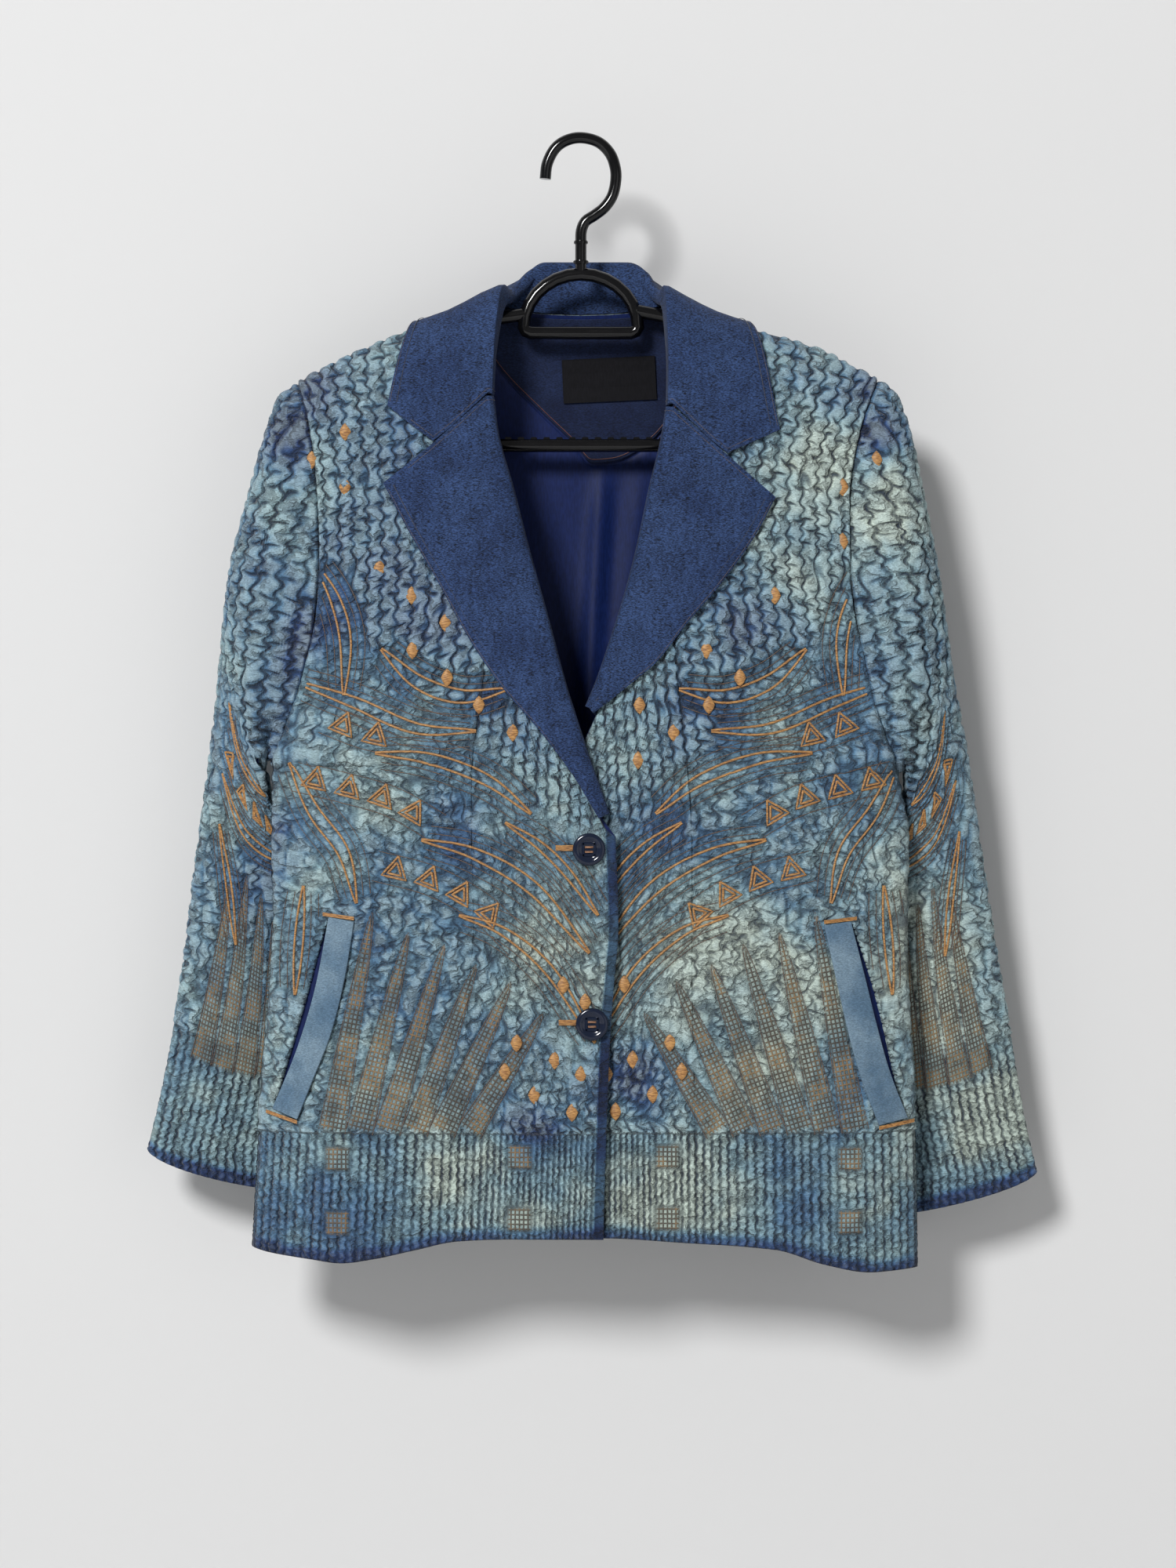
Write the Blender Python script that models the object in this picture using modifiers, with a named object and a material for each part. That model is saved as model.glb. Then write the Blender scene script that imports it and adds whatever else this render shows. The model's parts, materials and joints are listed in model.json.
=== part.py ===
"""A shirred denim jacket, buttoned, hanging on a moulded plastic clothes hanger.

Run it with: blender --background --python part.py

The origin is the inner top of the hanger's hook, where a rail or nail carries it. +X runs to the viewer's
right, -Y to the viewer, whom the jacket faces, and +Z up. Right and left in the names are the wearer's, so
the right front is at -X. Sizes are in millimetres here, and metres in the meshes.
"""

import math
from functools import partial

import bmesh
import bpy
import numpy as np

MM = 0.001
RIGHT, LEFT = -1, 1
FRONT, BACK = -1, 1

# Cloth
CLOTH_HALF = 1.0  # half the thickness of the shell cloth
RIB_HEIGHT = 2.2  # the shirring stands this far out of the cloth
FRONT_RIBS, BACK_RIBS = 16, 27
SEAM_GAP = 0.3
FACING_HALF = 0.6
INSIDE_GAP = 1.2  # between the shell and a layer hanging inside it
LAPEL_HALF = 1.1
LAPEL_INSIDE = -(CLOTH_HALF + LAPEL_HALF + INSIDE_GAP)
CLEAR_OF_RIBS = CLOTH_HALF + RIB_HEIGHT + 0.8

# The body's outline as it hangs, as (height, half width) from the shoulder point to the hem
HALF_WIDTH = {
    RIGHT: [(-168, 198), (-195, 190), (-240, 184), (-285, 182), (-330, 184), (-372, 193), (-410, 205),
            (-440, 214), (-490, 214), (-540, 213), (-600, 217), (-680, 223), (-785, 229)],
    LEFT: [(-165, 208), (-205, 194), (-250, 187), (-310, 188), (-367, 198), (-410, 209),
           (-445, 221), (-490, 227), (-540, 227), (-600, 228), (-680, 232), (-790, 234)],
}
# The top of the shoulders over the distance from the middle, running on level under the collar
SHOULDER = {
    RIGHT: [(0, -101), (60, -106), (73, -113), (95, -124), (119, -132), (145, -143), (171, -155), (188, -164),
            (198, -170)],
    LEFT: [(0, -101), (60, -106), (73, -113), (95, -124), (120, -132), (143, -138), (168, -147), (192, -159),
           (209, -168)],
}
# The hem's height over x
HEM = [(-232, -771), (-216, -775), (-185, -779), (-166, -781), (-143, -778), (-115, -772), (-86, -766),
       (-40, -764), (15, -764), (70, -767), (135, -772), (168, -782), (202, -788), (236, -786)]
# How deep the body hangs in front of and behind the hanger, down its middle
MIDDLE_DEPTH = {
    FRONT: [(-110, -31), (-200, -38), (-300, -44), (-450, -47), (-600, -45), (-790, -44)],
    BACK: [(-110, 25), (-200, 30), (-300, 33), (-450, 32), (-600, 31), (-790, 33)],
}
SIDE_DEPTH = [(-165, 0), (-300, 0), (-440, -8), (-500, -12), (-600, -14), (-790, -14)]
SHOULDER_ROUND = {FRONT: 60, BACK: 80}
SIDE_ROUND = 2.4
ARMHOLE_GAPE = 22
SEAM_HALF = 0.2  # from the middle of a seam to the end of each cloth
ARMHOLE_RISE = 110

# Rows down a body panel, as shares of its height; the armhole ends on one of them
ARMHOLE_SHARE = 0.442
BODY_ROWS = [0, 0.006, 0.02, 0.045, 0.09, 0.15, 0.22, 0.3, 0.37, ARMHOLE_SHARE, 0.53, 0.65, 0.82, 1]

NECK_POINT = 73

# Centre front: the right front laps over the left one
FRONT_EDGE = {
    RIGHT: [(-484, 24), (-548, 26), (-587, 23), (-631, 20), (-713, 17), (-790, 15)],
    LEFT: [(-484, -12), (-790, -12)],
}
LAP = {RIGHT: -3.5, LEFT: 5.5}
LAP_FADE = 60
# The necklines over x, from the end of the fold up to the neck point
NECKLINE = {
    RIGHT: [(-73, -113), (-69.5, -140), (-67.5, -178), (-61, -213), (-52, -252), (-43, -285), (-33, -329),
            (-21, -372), (-9, -410), (4, -446), (17, -480), (24, -486)],
    LEFT: [(-12, -446), (-5, -434), (7, -410), (18, -383), (31, -348), (40, -316), (48.5, -285), (53, -259),
           (59, -229), (65, -205), (68, -180), (69.5, -140), (73, -113)],
}
BACK_NECK = [(-73, -113), (-55, -115), (-30, -118), (0, -119), (30, -118), (55, -115), (73, -113)]

# Sleeves, from the armhole to the cuff: outer edge (x, z), inner edge (x, z), then how deep the outer edge,
# the inner edge, the front and the back lie, and how far the middle sags below the line between the edges
SLEEVE = {
    RIGHT: [
        (0.00, -198, -170, -214, -437, 0, -8, -22, 22, 0),
        (0.06, -208, -177, -221, -432, 1, -4, -24, 24, 0),
        (0.12, -217, -199, -225, -437, 3, 1, -25, 27, 0),
        (0.20, -230, -245, -225, -448, 6, 7, -23, 32, 0),
        (0.28, -244, -300, -222, -460, 9, 13, -17, 38, 0),
        (0.36, -251, -358, -217, -476, 13, 18, -9, 42, 0),
        (0.44, -257, -413, -208, -498, 18, 24, 0, 46, 0),
        (0.52, -264, -463, -198, -528, 22, 28, 8, 48, 0),
        (0.60, -271, -510, -190, -562, 25, 30, 13, 49, 1),
        (0.70, -278, -567, -184, -606, 27, 31, 15, 49, 2),
        (0.80, -287, -625, -180, -651, 28, 31, 17, 48, 4),
        (0.90, -297, -675, -178, -695, 28, 31, 18, 46, 7),
        (1.00, -305, -708, -177, -732, 28, 31, 18, 45, 12),
    ],
    LEFT: [
        (0.00, 208, -167, 219, -440, 0, -8, -22, 22, 0),
        (0.06, 217, -173, 227.5, -434, 1, -4, -24, 24, 0),
        (0.12, 227, -197, 230, -440, 3, 1, -25, 27, 0),
        (0.20, 237, -243, 231, -452, 6, 7, -23, 32, 0),
        (0.28, 249, -304, 230, -465, 9, 13, -17, 38, 0),
        (0.36, 258, -364, 228, -482, 13, 18, -9, 42, 0),
        (0.44, 268, -418, 220, -504, 18, 24, 0, 46, 0),
        (0.52, 276, -468, 210, -534, 22, 28, 8, 48, 0),
        (0.60, 284, -518, 202, -569, 25, 30, 13, 49, 1),
        (0.70, 293, -575, 196, -614, 27, 31, 15, 49, 2),
        (0.80, 303, -632, 192, -662, 28, 31, 17, 48, 4),
        (0.90, 312, -685, 190, -710, 28, 31, 18, 46, 6),
        (1.00, 321, -724, 190, -752, 28, 31, 18, 45, 10),
    ],
}
SLEEVE_COLUMNS = 30
SLEEVE_ROWS = [0, 0.05, 0.11, 0.18, 0.26, 0.34, 0.42, 0.5, 0.58, 0.67, 0.76, 0.85, 0.93, 1]
SLEEVE_SEAM_GAP = 1.9

# Collar, from the middle of the back (0) to its front end (1): neck seam, crest of the fold, outer edge
COLLAR = {
    RIGHT: [
        (0.00, (0, 31, -117), (0, 37, -80), (0, 47, -140)),
        (0.20, (-26, 29, -116), (-25, 33, -80.5), (-44, 46, -140)),
        (0.35, (-46, 23, -114), (-35, 28, -86), (-82, 38, -136)),
        (0.45, (-59, 15, -111.5), (-42, 20, -95), (-104, 24, -129)),
        (0.55, (-69, 3, -109), (-48.5, 8, -104), (-113, 8, -125)),
        (0.62, (-69, -8, -112), (-52, -4.5, -108.5), (-118, -6, -133)),
        (0.70, (-67.5, -19, -126), (-56.5, -16, -127), (-122, -16, -146)),
        (0.85, (-64, -27.5, -153), (-60, -28, -155), (-129, -28, -168)),
        (1.00, (-62, -32.5, -178.5), (-61, -35, -180), (-134, -34, -188)),
    ],
    LEFT: [
        (0.00, (0, 31, -117), (0, 37, -80), (0, 47, -140)),
        (0.20, (26, 29, -116), (33, 33, -80.5), (50, 46, -141)),
        (0.35, (46, 23, -114), (45, 27, -87), (88, 38, -137)),
        (0.45, (59, 15, -111.5), (50, 19, -97), (106, 24, -129)),
        (0.55, (69, 3, -109), (54, 8, -105), (114, 8, -126)),
        (0.62, (69, -8, -112), (56.5, -5.5, -109.5), (119, -6, -135)),
        (0.70, (67.5, -19, -127), (59, -17, -131), (124, -16, -150)),
        (0.85, (64, -27.5, -156), (60.5, -28, -160), (132, -28, -178)),
        (1.00, (62, -32.5, -185.5), (60, -35, -187), (138, -34, -204)),
    ],
}
NOTCH = {RIGHT: (-101, -213), LEFT: (100, -221)}
COLLAR_ROLL = 3.6
LEAF_SHARES = (0, 0.19, 0.37, 0.56, 0.78, 1)

# Lapels, from the gorge seam (0) down to the end of the fold (1): crest of the fold and outer edge, (x, z)
LAPEL = {
    RIGHT: [
        (0.00, (-61, -181), (-136, -241)), (0.15, (-57.5, -207), (-118, -275)), (0.30, (-47, -245), (-98, -310)),
        (0.45, (-36, -288), (-77, -348)), (0.60, (-23, -335), (-54, -382)), (0.75, (-11, -380), (-28, -413)),
        (0.88, (3, -424), (-4, -445)), (1.00, (19, -470), (13, -473)),
    ],
    LEFT: [
        (0.00, (60, -188), (134, -251)), (0.15, (56, -212), (119, -279)), (0.30, (48, -245), (97, -310)),
        (0.45, (40, -283), (74, -338)), (0.60, (31, -318), (52, -366)), (0.75, (20, -353), (32, -382)),
        (0.88, (11, -379), (18, -393)), (1.00, (4, -396), (8, -400)),
    ],
}
LAPEL_ROLL = 4.6
LAPEL_FACING_WIDTH = 30

# Inside of the back
NECK_FACING_HEM = [(-73, -131), (-56, -157), (-28, -186), (-5, -208), (8, -222), (22, -221), (50, -206), (73, -176)]
LABEL_SIZE, LABEL_CENTRE, LABEL_TURN = (66, 31), (20, -163), math.radians(2.7)
LABEL_HALF = 0.4
LINING_HEM_UP = 22
LINING_PLEAT_X, LINING_PLEAT_DEPTH = 11, 4.0

# Pockets: the welt's long edges as (share down, x, z), the slit beside it, and the bag behind it
WELT = {
    RIGHT: {"outer": [(0, -173.5, -541.5), (0.35, -182.5, -589.5), (0.66, -194.5, -631), (1, -212, -675)],
            "inner": [(0, -156, -544.5), (0.26, -161.7, -580), (0.56, -171.6, -621.5), (0.8, -184, -654),
                      (1, -195, -682)]},
    LEFT: {"outer": [(0, 186, -544.5), (0.29, 196, -584.5), (0.5, 203, -614), (0.74, 211.5, -646),
                     (1, 224.5, -681.5)],
           "inner": [(0, 167.5, -547), (0.31, 177, -589.5), (0.55, 184.5, -622.5), (0.77, 193, -653.5),
                     (1, 205, -686)]},
}
WELT_HALF = 1.0
SLIT_WIDTH = 6.0
BAG_REACH = [0, 0.03, 0.08, 0.3, 0.65, 1.0]
BAG_DEPTH, BAG_WALL, BAG_GAP = 110, 1.0, 8.5

BUTTONS = [(5.7, -494.5), (7.8, -615)]
BUTTON_RADIUS, BUTTON_THICK = 11.3, 3.6

# Hanger, as centre lines (x, z) in its own plane
HOOK_ROD = 4.0
HOOK = [(-25, -25), (-23.6, -14.3), (-18.4, -4), (-10.5, 1.9), (0, 4), (12, 1), (20.4, -7), (24.2, -17.6),
        (24.4, -27), (22, -37), (16.5, -45), (9.8, -50.3), (3.2, -54.8), (0.3, -61.6), (0, -71.5), (0, -90)]
FRAME_ROD = 4.6
HANDLE_HALF, HANDLE_TOP, HANDLE_FOOT = 40, -91.8, -133
ARM = {
    RIGHT: [(39, -120), (57, -122.5), (75, -126.5), (96, -132.5), (119, -139.5), (145, -150.5),
            (168, -161), (180, -168)],
    LEFT: [(39, -117.5), (57, -121), (75, -125.5), (96, -132), (119, -139.5), (145, -148),
           (168, -156), (183, -163)],
}
ARM_TIP = [(2, -174), (-2, -184), (-12, -196), (-28, -206), (-48, -211)]  # from the arm's end, z as it is


def smooth(table, at):
    """A curve through a table of (place, value) that never overshoots it, and is level past its ends."""
    places, values = np.array(sorted(table), float).T
    steps = np.diff(places)
    slopes = np.diff(values) / steps
    tangents = np.zeros_like(values)
    tangents[0], tangents[-1] = slopes[0], slopes[-1]
    product = slopes[:-1] * slopes[1:]
    total = slopes[:-1] + slopes[1:]
    tangents[1:-1] = np.where(product > 0, 2 * product / np.where(total == 0, 1, total), 0)
    at = np.clip(at, places[0], places[-1])
    i = np.clip(np.searchsorted(places, at) - 1, 0, len(steps) - 1)
    t = (at - places[i]) / steps[i]
    return ((1 + 2 * t) * (1 - t) ** 2 * values[i] + t * (1 - t) ** 2 * steps[i] * tangents[i]
            + t * t * (3 - 2 * t) * values[i + 1] + t * t * (t - 1) * steps[i] * tangents[i + 1])


def ease(t):
    t = np.clip(t, 0, 1)
    return t * t * (3 - 2 * t)


def unit(v):
    return v / np.maximum(np.linalg.norm(v, axis=-1, keepdims=True), 1e-9)


def by_side(tables, x, at):
    """Reads the right side's table where x is negative, and the left side's elsewhere."""
    return np.where(x < 0, smooth(tables[RIGHT], at), smooth(tables[LEFT], at))


def underarm(side):
    """The height of the bottom of the armhole."""
    top = SHOULDER[side][-1][1]
    hem = smooth(HEM, side * HALF_WIDTH[side][-1][1])
    return float(top + ARMHOLE_SHARE * (hem - top))


def half_width(x, z):
    return by_side(HALF_WIDTH, x, z)


def shoulder_height(x):
    return by_side(SHOULDER, x, np.abs(x))


def edge_depth(face, x, z):
    """How deep the cloth lies at its side edge: apart at the armhole, together down the side seam."""
    above = np.clip((z - np.where(x < 0, underarm(RIGHT), underarm(LEFT))) / ARMHOLE_RISE, 0, 1)
    return smooth(SIDE_DEPTH, z) + face * (ARMHOLE_GAPE * np.sqrt(1 - (1 - above) ** 2))


def folds(face, x, z):
    """The soft folds in which the skirt of the jacket hangs."""
    low = ease((-560 - z) / 220)
    if face == FRONT:
        crests = ((-164, 34, 7), (-70, 30, -3), (95, 34, -4), (192, 30, 8))
    else:
        crests = ((-120, 36, 5), (-30, 30, -4), (60, 34, 5), (150, 30, -3))
    return face * low * sum(high * np.exp(-((x - at) / wide) ** 2) for at, wide, high in crests)


def body_depth(face, x, z):
    """The y of the middle of the cloth, on the front or the back of the body."""
    share = np.clip(np.abs(x) / half_width(x, z), 0, 1)
    edge = edge_depth(face, x, z)
    above = (z - np.where(x < 0, underarm(RIGHT), underarm(LEFT))) / 60
    power = 0.5 + 0.5 * ease(above)
    fullness = (1 - share ** SIDE_ROUND) ** power
    full = edge + (smooth(MIDDLE_DEPTH[face], z) - edge) * fullness
    down = np.clip((shoulder_height(x) - z) / SHOULDER_ROUND[face], 0, 1)
    return full * np.sqrt(1 - (1 - down) ** 2) + folds(face, x, z) * fullness + face * SEAM_HALF


def clear_of_body(points, off):
    """Moves points out of the body, so that they lie at least this far over the middle of its cloth."""
    x, y, z = points.T
    face = np.where(y < 0, FRONT, BACK)
    round_ = np.where(y < 0, SHOULDER_ROUND[FRONT], SHOULDER_ROUND[BACK])
    deep = np.where(y < 0, body_depth(FRONT, x, np.minimum(z, shoulder_height(x) - round_)),
                    body_depth(BACK, x, np.minimum(z, shoulder_height(x) - round_)))
    off = off - 1.1 * np.exp(-((y / 9) ** 2))
    reach = np.abs(deep) + off
    middle = shoulder_height(x) - round_
    up = np.maximum(z - middle, 0) / (round_ + off)
    out = np.sqrt((y / reach) ** 2 + up ** 2)
    grow = np.where(out < 1, 1 / np.maximum(out, 1e-6), 1)
    return np.stack([x, np.where(out < 1, y * grow, y), np.where(up > 0, middle + (z - middle) * grow, z)], 1)


def even_share():
    """The share of the half width at which a share of the cloth's own width lies, in a usual section."""
    share = np.linspace(0, 1, 400)
    depth = 0.17 * (1 - share ** SIDE_ROUND) ** 0.5
    run = np.concatenate([[0], np.cumsum(np.hypot(np.diff(share), np.diff(depth)))])
    return run / run[-1], share


CLOTH_SHARE, WIDTH_SHARE = even_share()


def across(side, c, z):
    """x at the share c of the way from the centre front edge to the side, at this height."""
    edge = smooth(FRONT_EDGE[side], z)
    return edge + (side * half_width(side, z) - edge) * np.interp(c, CLOTH_SHARE, WIDTH_SHARE)


def across_back(c, z):
    t = np.interp(np.abs(2 * c - 1), CLOTH_SHARE, WIDTH_SHARE)
    side = np.where(c < 0.5, RIGHT, LEFT)
    return side * half_width(side, z) * t


def top_of(x_at, limit, c):
    """The height at which column c of a panel meets the panel's top outline."""
    low, high = np.full_like(c, -700.0), np.full_like(c, -100.0)
    for _ in range(30):
        middle = (low + high) / 2
        inside = middle < limit(x_at(c, middle))
        low, high = np.where(inside, middle, low), np.where(inside, high, middle)
    return low


def front_top(side):
    """The top of a front: the neckline up to the neck point, and the shoulder from there."""
    return lambda x: np.where(side * x > NECK_POINT, shoulder_height(x), smooth(NECKLINE[side], x))


def back_top(x):
    return np.where(np.abs(x) > NECK_POINT, shoulder_height(x), smooth(BACK_NECK, x))


def lap(side, x, z):
    """How far a front moves forward or back where one laps over the other."""
    across_ = ease((LAP_FADE + 30 - side * x) / LAP_FADE)
    return LAP[side] * across_ * ease((shoulder_height(x) - z) / 50)


def shell(face, side, x, z, off=0.0):
    """Points off the middle of the body's cloth, outwards where off is positive. Side picks the front."""
    step = 0.5

    def middle(x, z):
        y = body_depth(face, x, z)
        return np.stack([x, y + lap(side, x, z) if face == FRONT else y, z], -1)

    flat = middle(x, z)
    slope_x = middle(x + step, z) - middle(x - step, z)
    slope_z = middle(x, z + step) - middle(x, z - step)
    out = unit(np.cross(slope_x, slope_z)) * -face
    # On the shoulder seam the cloth lies level from front to back
    top = np.stack([shoulder_height(x - step) - shoulder_height(x + step), 0 * x, 0 * x + 2 * step], -1)
    out = np.where((np.abs(flat[..., 1]) < 1)[..., None], unit(top), out)
    # Down the side seam front and back meet edge to edge
    seam = (np.abs(x) > half_width(x, z) - 0.5) & (z < np.where(x < 0, underarm(RIGHT), underarm(LEFT)) + 2)
    out = np.where(seam[..., None], np.stack([np.sign(x), 0 * x, 0 * x], -1), out)
    return flat + out * np.asarray(off)[..., None]


def front_place(side, c, v):
    """x and z on a front: c runs from the centre front to the side, v from the top to the hem."""
    z_top = top_of(lambda c, z: across(side, c, z), front_top(side), c)
    z_hem = smooth(HEM, across(side, c, -770.0))
    z = z_top + v * (z_hem - z_top)
    return across(side, c, z), z


def steep_columns(side):
    """Columns that meet the neckline at these heights, where it climbs to the neck point."""
    fine = np.linspace(0, 0.6, 2401)
    x, z = front_place(side, fine, 0 * fine)
    below = side * x < NECK_POINT
    return np.interp([-206, -182, -154, -129], z[below], fine[below])


def back_place(c, v):
    """x and z on the back: c runs from the right side to the left one."""
    z_top = top_of(across_back, back_top, c)
    z_hem = smooth(HEM, across_back(c, -770.0)) + 2
    z = z_top + v * (z_hem - z_top)
    return across_back(c, z), z


def armhole(side, share):
    """The armhole's edge on both panels, and the way out of the cloth there. Share runs down the front."""
    z_low, z_high = underarm(side), float(SHOULDER[side][-1][1])
    half = np.abs(share)
    rows = np.array([r for r in BODY_ROWS if r <= ARMHOLE_SHARE + 1e-6]) / ARMHOLE_SHARE
    z_rows = z_high + rows * (z_low - z_high)
    edges = {}
    for face in (FRONT, BACK):
        x = side * half_width(np.full_like(z_rows, side), z_rows)
        edge = np.stack([x, body_depth(face, x, z_rows), z_rows], 1)
        run = np.concatenate([[0], np.cumsum(np.linalg.norm(np.diff(edge, axis=0), axis=1))])
        edges[face] = np.stack([np.interp(half, run / run[-1], edge[:, k]) for k in range(3)], 1)
    return np.where((share < 0)[:, None], edges[BACK], edges[FRONT])


def sleeve_middle(side, share, v):
    """The middle of the sleeve's cloth. Share runs round it, 0 at its outer edge and 1 or -1 at its inner one."""
    table = np.array(SLEEVE[side])
    columns = [smooth(list(zip(table[:, 0], table[:, k])), v) for k in range(1, 10)]
    xo, zo, xi, zi, yo, yi, yf, yb, sag = columns
    turn = np.linspace(0, math.pi, 81)
    outer = (1 + np.cos(turn)) / 2
    rings = []
    for face, deep in ((FRONT, yf), (BACK, yb)):
        line = yo * outer + yi * (1 - outer)
        ring = np.stack([xo * outer + xi * (1 - outer), line + (deep - line) * np.sin(turn) ** 0.85,
                         zo * outer + zi * (1 - outer) - sag * np.sin(turn)], 1)
        run = np.concatenate([[0], np.cumsum(np.linalg.norm(np.diff(ring, axis=0), axis=1))])
        rings.append(np.stack([np.interp(np.abs(share), run / run[-1], ring[:, k]) for k in range(3)], 1))
    return np.where((share < 0)[:, None], rings[1], rings[0])


def sleeve_point(side, share, v):
    """The sleeve, drawn to the armhole's edge at its top."""
    hold = 1 - ease(v / 0.22)
    points = sleeve_middle(side, share, v)
    if hold > 0:
        seam = armhole(side, share)
        turn = np.abs(share) * math.pi
        away = np.stack([side * (np.sin(turn) + 0.9 * np.maximum(np.cos(turn), 0)), 0 * turn,
                         np.maximum(-np.cos(turn), 0) - 0.4 * np.maximum(np.cos(turn), 0)], 1)
        points = points + hold * (seam + SLEEVE_SEAM_GAP * unit(away) - sleeve_middle(side, share, 0.0))
    return points


def material(name, colour, roughness):
    made = bpy.data.materials.new(name)
    made.use_nodes = True
    shader = made.node_tree.nodes["Principled BSDF"]
    shader.inputs["Base Color"].default_value = (*colour, 1)
    shader.inputs["Roughness"].default_value = roughness
    shader.inputs["Metallic"].default_value = 0
    return made


def write_mesh(name, bm, material, smooth_shaded=True, turn_out=True):
    """Makes an object of a mesh built in millimetres."""
    if turn_out:
        bmesh.ops.recalc_face_normals(bm, faces=bm.faces)
    bmesh.ops.scale(bm, vec=(MM, MM, MM), verts=bm.verts)
    mesh = bpy.data.meshes.new(name)
    bm.to_mesh(mesh)
    bm.free()
    return write_object(name, mesh, material, smooth_shaded)


def write_object(name, data, material, smooth_shaded=True):
    made = bpy.data.objects.new(name, data)
    PARTS.objects.link(made)
    data.materials.append(material)
    if smooth_shaded and isinstance(data, bpy.types.Mesh):
        data.shade_smooth()
        data.set_sharp_from_angle(angle=math.radians(45))
    return made


def normals_of(grid, round_):
    """The way out of a grid of points, from the grid's own slopes."""
    if round_:
        padded = np.concatenate([grid[:, -1:], grid, grid[:, :1]], 1)
        along = padded[:, 2:] - padded[:, :-2]
    else:
        along = np.gradient(grid, axis=1)
    down = np.gradient(grid, axis=0)
    return unit(np.cross(along, down))


def sheet(bm, grid, closed=False):
    """A grid primitive whose vertices are moved to a grid of points, rows by columns."""
    rows, columns = grid.shape[:2]
    if closed:
        grid = np.concatenate([grid, grid[:, :1]], 1)
        columns += 1
    made = bmesh.ops.create_grid(bm, x_segments=columns - 1, y_segments=rows - 1, size=0.5)["verts"]
    for vert in made:
        column = round((vert.co.x + 0.5) * (columns - 1))
        row = round((0.5 - vert.co.y) * (rows - 1))
        vert.co = grid[row, column]
    if closed:
        bmesh.ops.remove_doubles(bm, verts=made, dist=0.001)


def plain_wall(name, grid, half, material):
    """Cloth of even thickness about a grid of points."""
    bm = bmesh.new()
    sheet(bm, grid)
    made = write_mesh(name, bm, material)
    thicken = made.modifiers.new("thickness", "SOLIDIFY")
    thicken.thickness = 2 * half * MM
    thicken.offset = 0
    return made


def ribbed_wall(name, inside, outside, ribs, material, closed=False):
    """Cloth over a plain inside face, thicker at its ribs: how much is a share of a rib's height at each point.

    Outside is a grid of points further out, which tells the way out."""
    bm = bmesh.new()
    sheet(bm, inside, closed)
    bm.verts.ensure_lookup_table()
    bm.normal_update()
    points = inside.reshape(-1, 3)
    heights, out = np.asarray(ribs, float).ravel(), (outside - inside).reshape(-1, 3)
    nearest = [int(np.argmin(np.sum((points - np.array(vert.co)) ** 2, 1))) for vert in bm.verts]
    if sum(np.dot(vert.normal, out[n]) for vert, n in zip(bm.verts, nearest)) < 0:
        bmesh.ops.reverse_faces(bm, faces=bm.faces)
    made = write_mesh(name, bm, material, turn_out=False)
    thick = 2 * CLOTH_HALF
    group = made.vertex_groups.new(name="thickness")
    for index, n in enumerate(nearest):
        group.add([index], (thick + RIB_HEIGHT * heights[n]) / (thick + RIB_HEIGHT), "REPLACE")
    thicken = made.modifiers.new("thickness", "SOLIDIFY")
    thicken.thickness = (thick + RIB_HEIGHT) * MM
    thicken.offset = 1
    thicken.vertex_group = group.name
    return made


def ribbed(columns):
    """The shirring over a run of columns: a valley at each seam, then ridge and valley by turns."""
    return (np.arange(columns) % 2 == 1).astype(float)


def shirred_panel(name, face, side, place, ribs, material, more=()):
    """A body panel, from its top to the hem. More columns can be named where the outline is steep."""
    rows = np.array(BODY_ROWS)
    even = np.linspace(0, 1, 2 * ribs + 1)
    columns = np.unique(np.concatenate([even, more]))
    heights = np.interp(columns, even, ribbed(2 * ribs + 1))
    c, v = np.meshgrid(columns, rows)
    x, z = place(c.ravel(), v.ravel())
    x, z = x.reshape(c.shape), z.reshape(c.shape)
    inside, outside = (shell(face, side, x, z, np.full(x.shape, off)) for off in (-CLOTH_HALF, CLOTH_HALF))
    heights = heights[None, :] * ((rows > 0.01) & (rows < 0.999))[:, None]
    ribbed_wall(name, inside, outside, heights, material)


def make_sleeve(name, side, material):
    """A sleeve: one tube from the armhole to the cuff, ribbed outside and plain inside."""
    share = np.linspace(-1, 1, SLEEVE_COLUMNS + 1)[:-1]
    grid = np.stack([sleeve_point(side, share, v) for v in SLEEVE_ROWS])
    out = side * normals_of(grid, True)
    out[0] = unit(out[0] * np.array([0.35, 1, 0.6]) + np.array([0.25 * side, 0, 0]))
    rows = np.array(SLEEVE_ROWS)
    heights = ribbed(SLEEVE_COLUMNS)[None, :] * ((rows > 0.02) & (rows < 0.999))[:, None]
    ribbed_wall(name, grid - out * CLOTH_HALF, grid + out * CLOTH_HALF, heights, material, closed=True)


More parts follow.
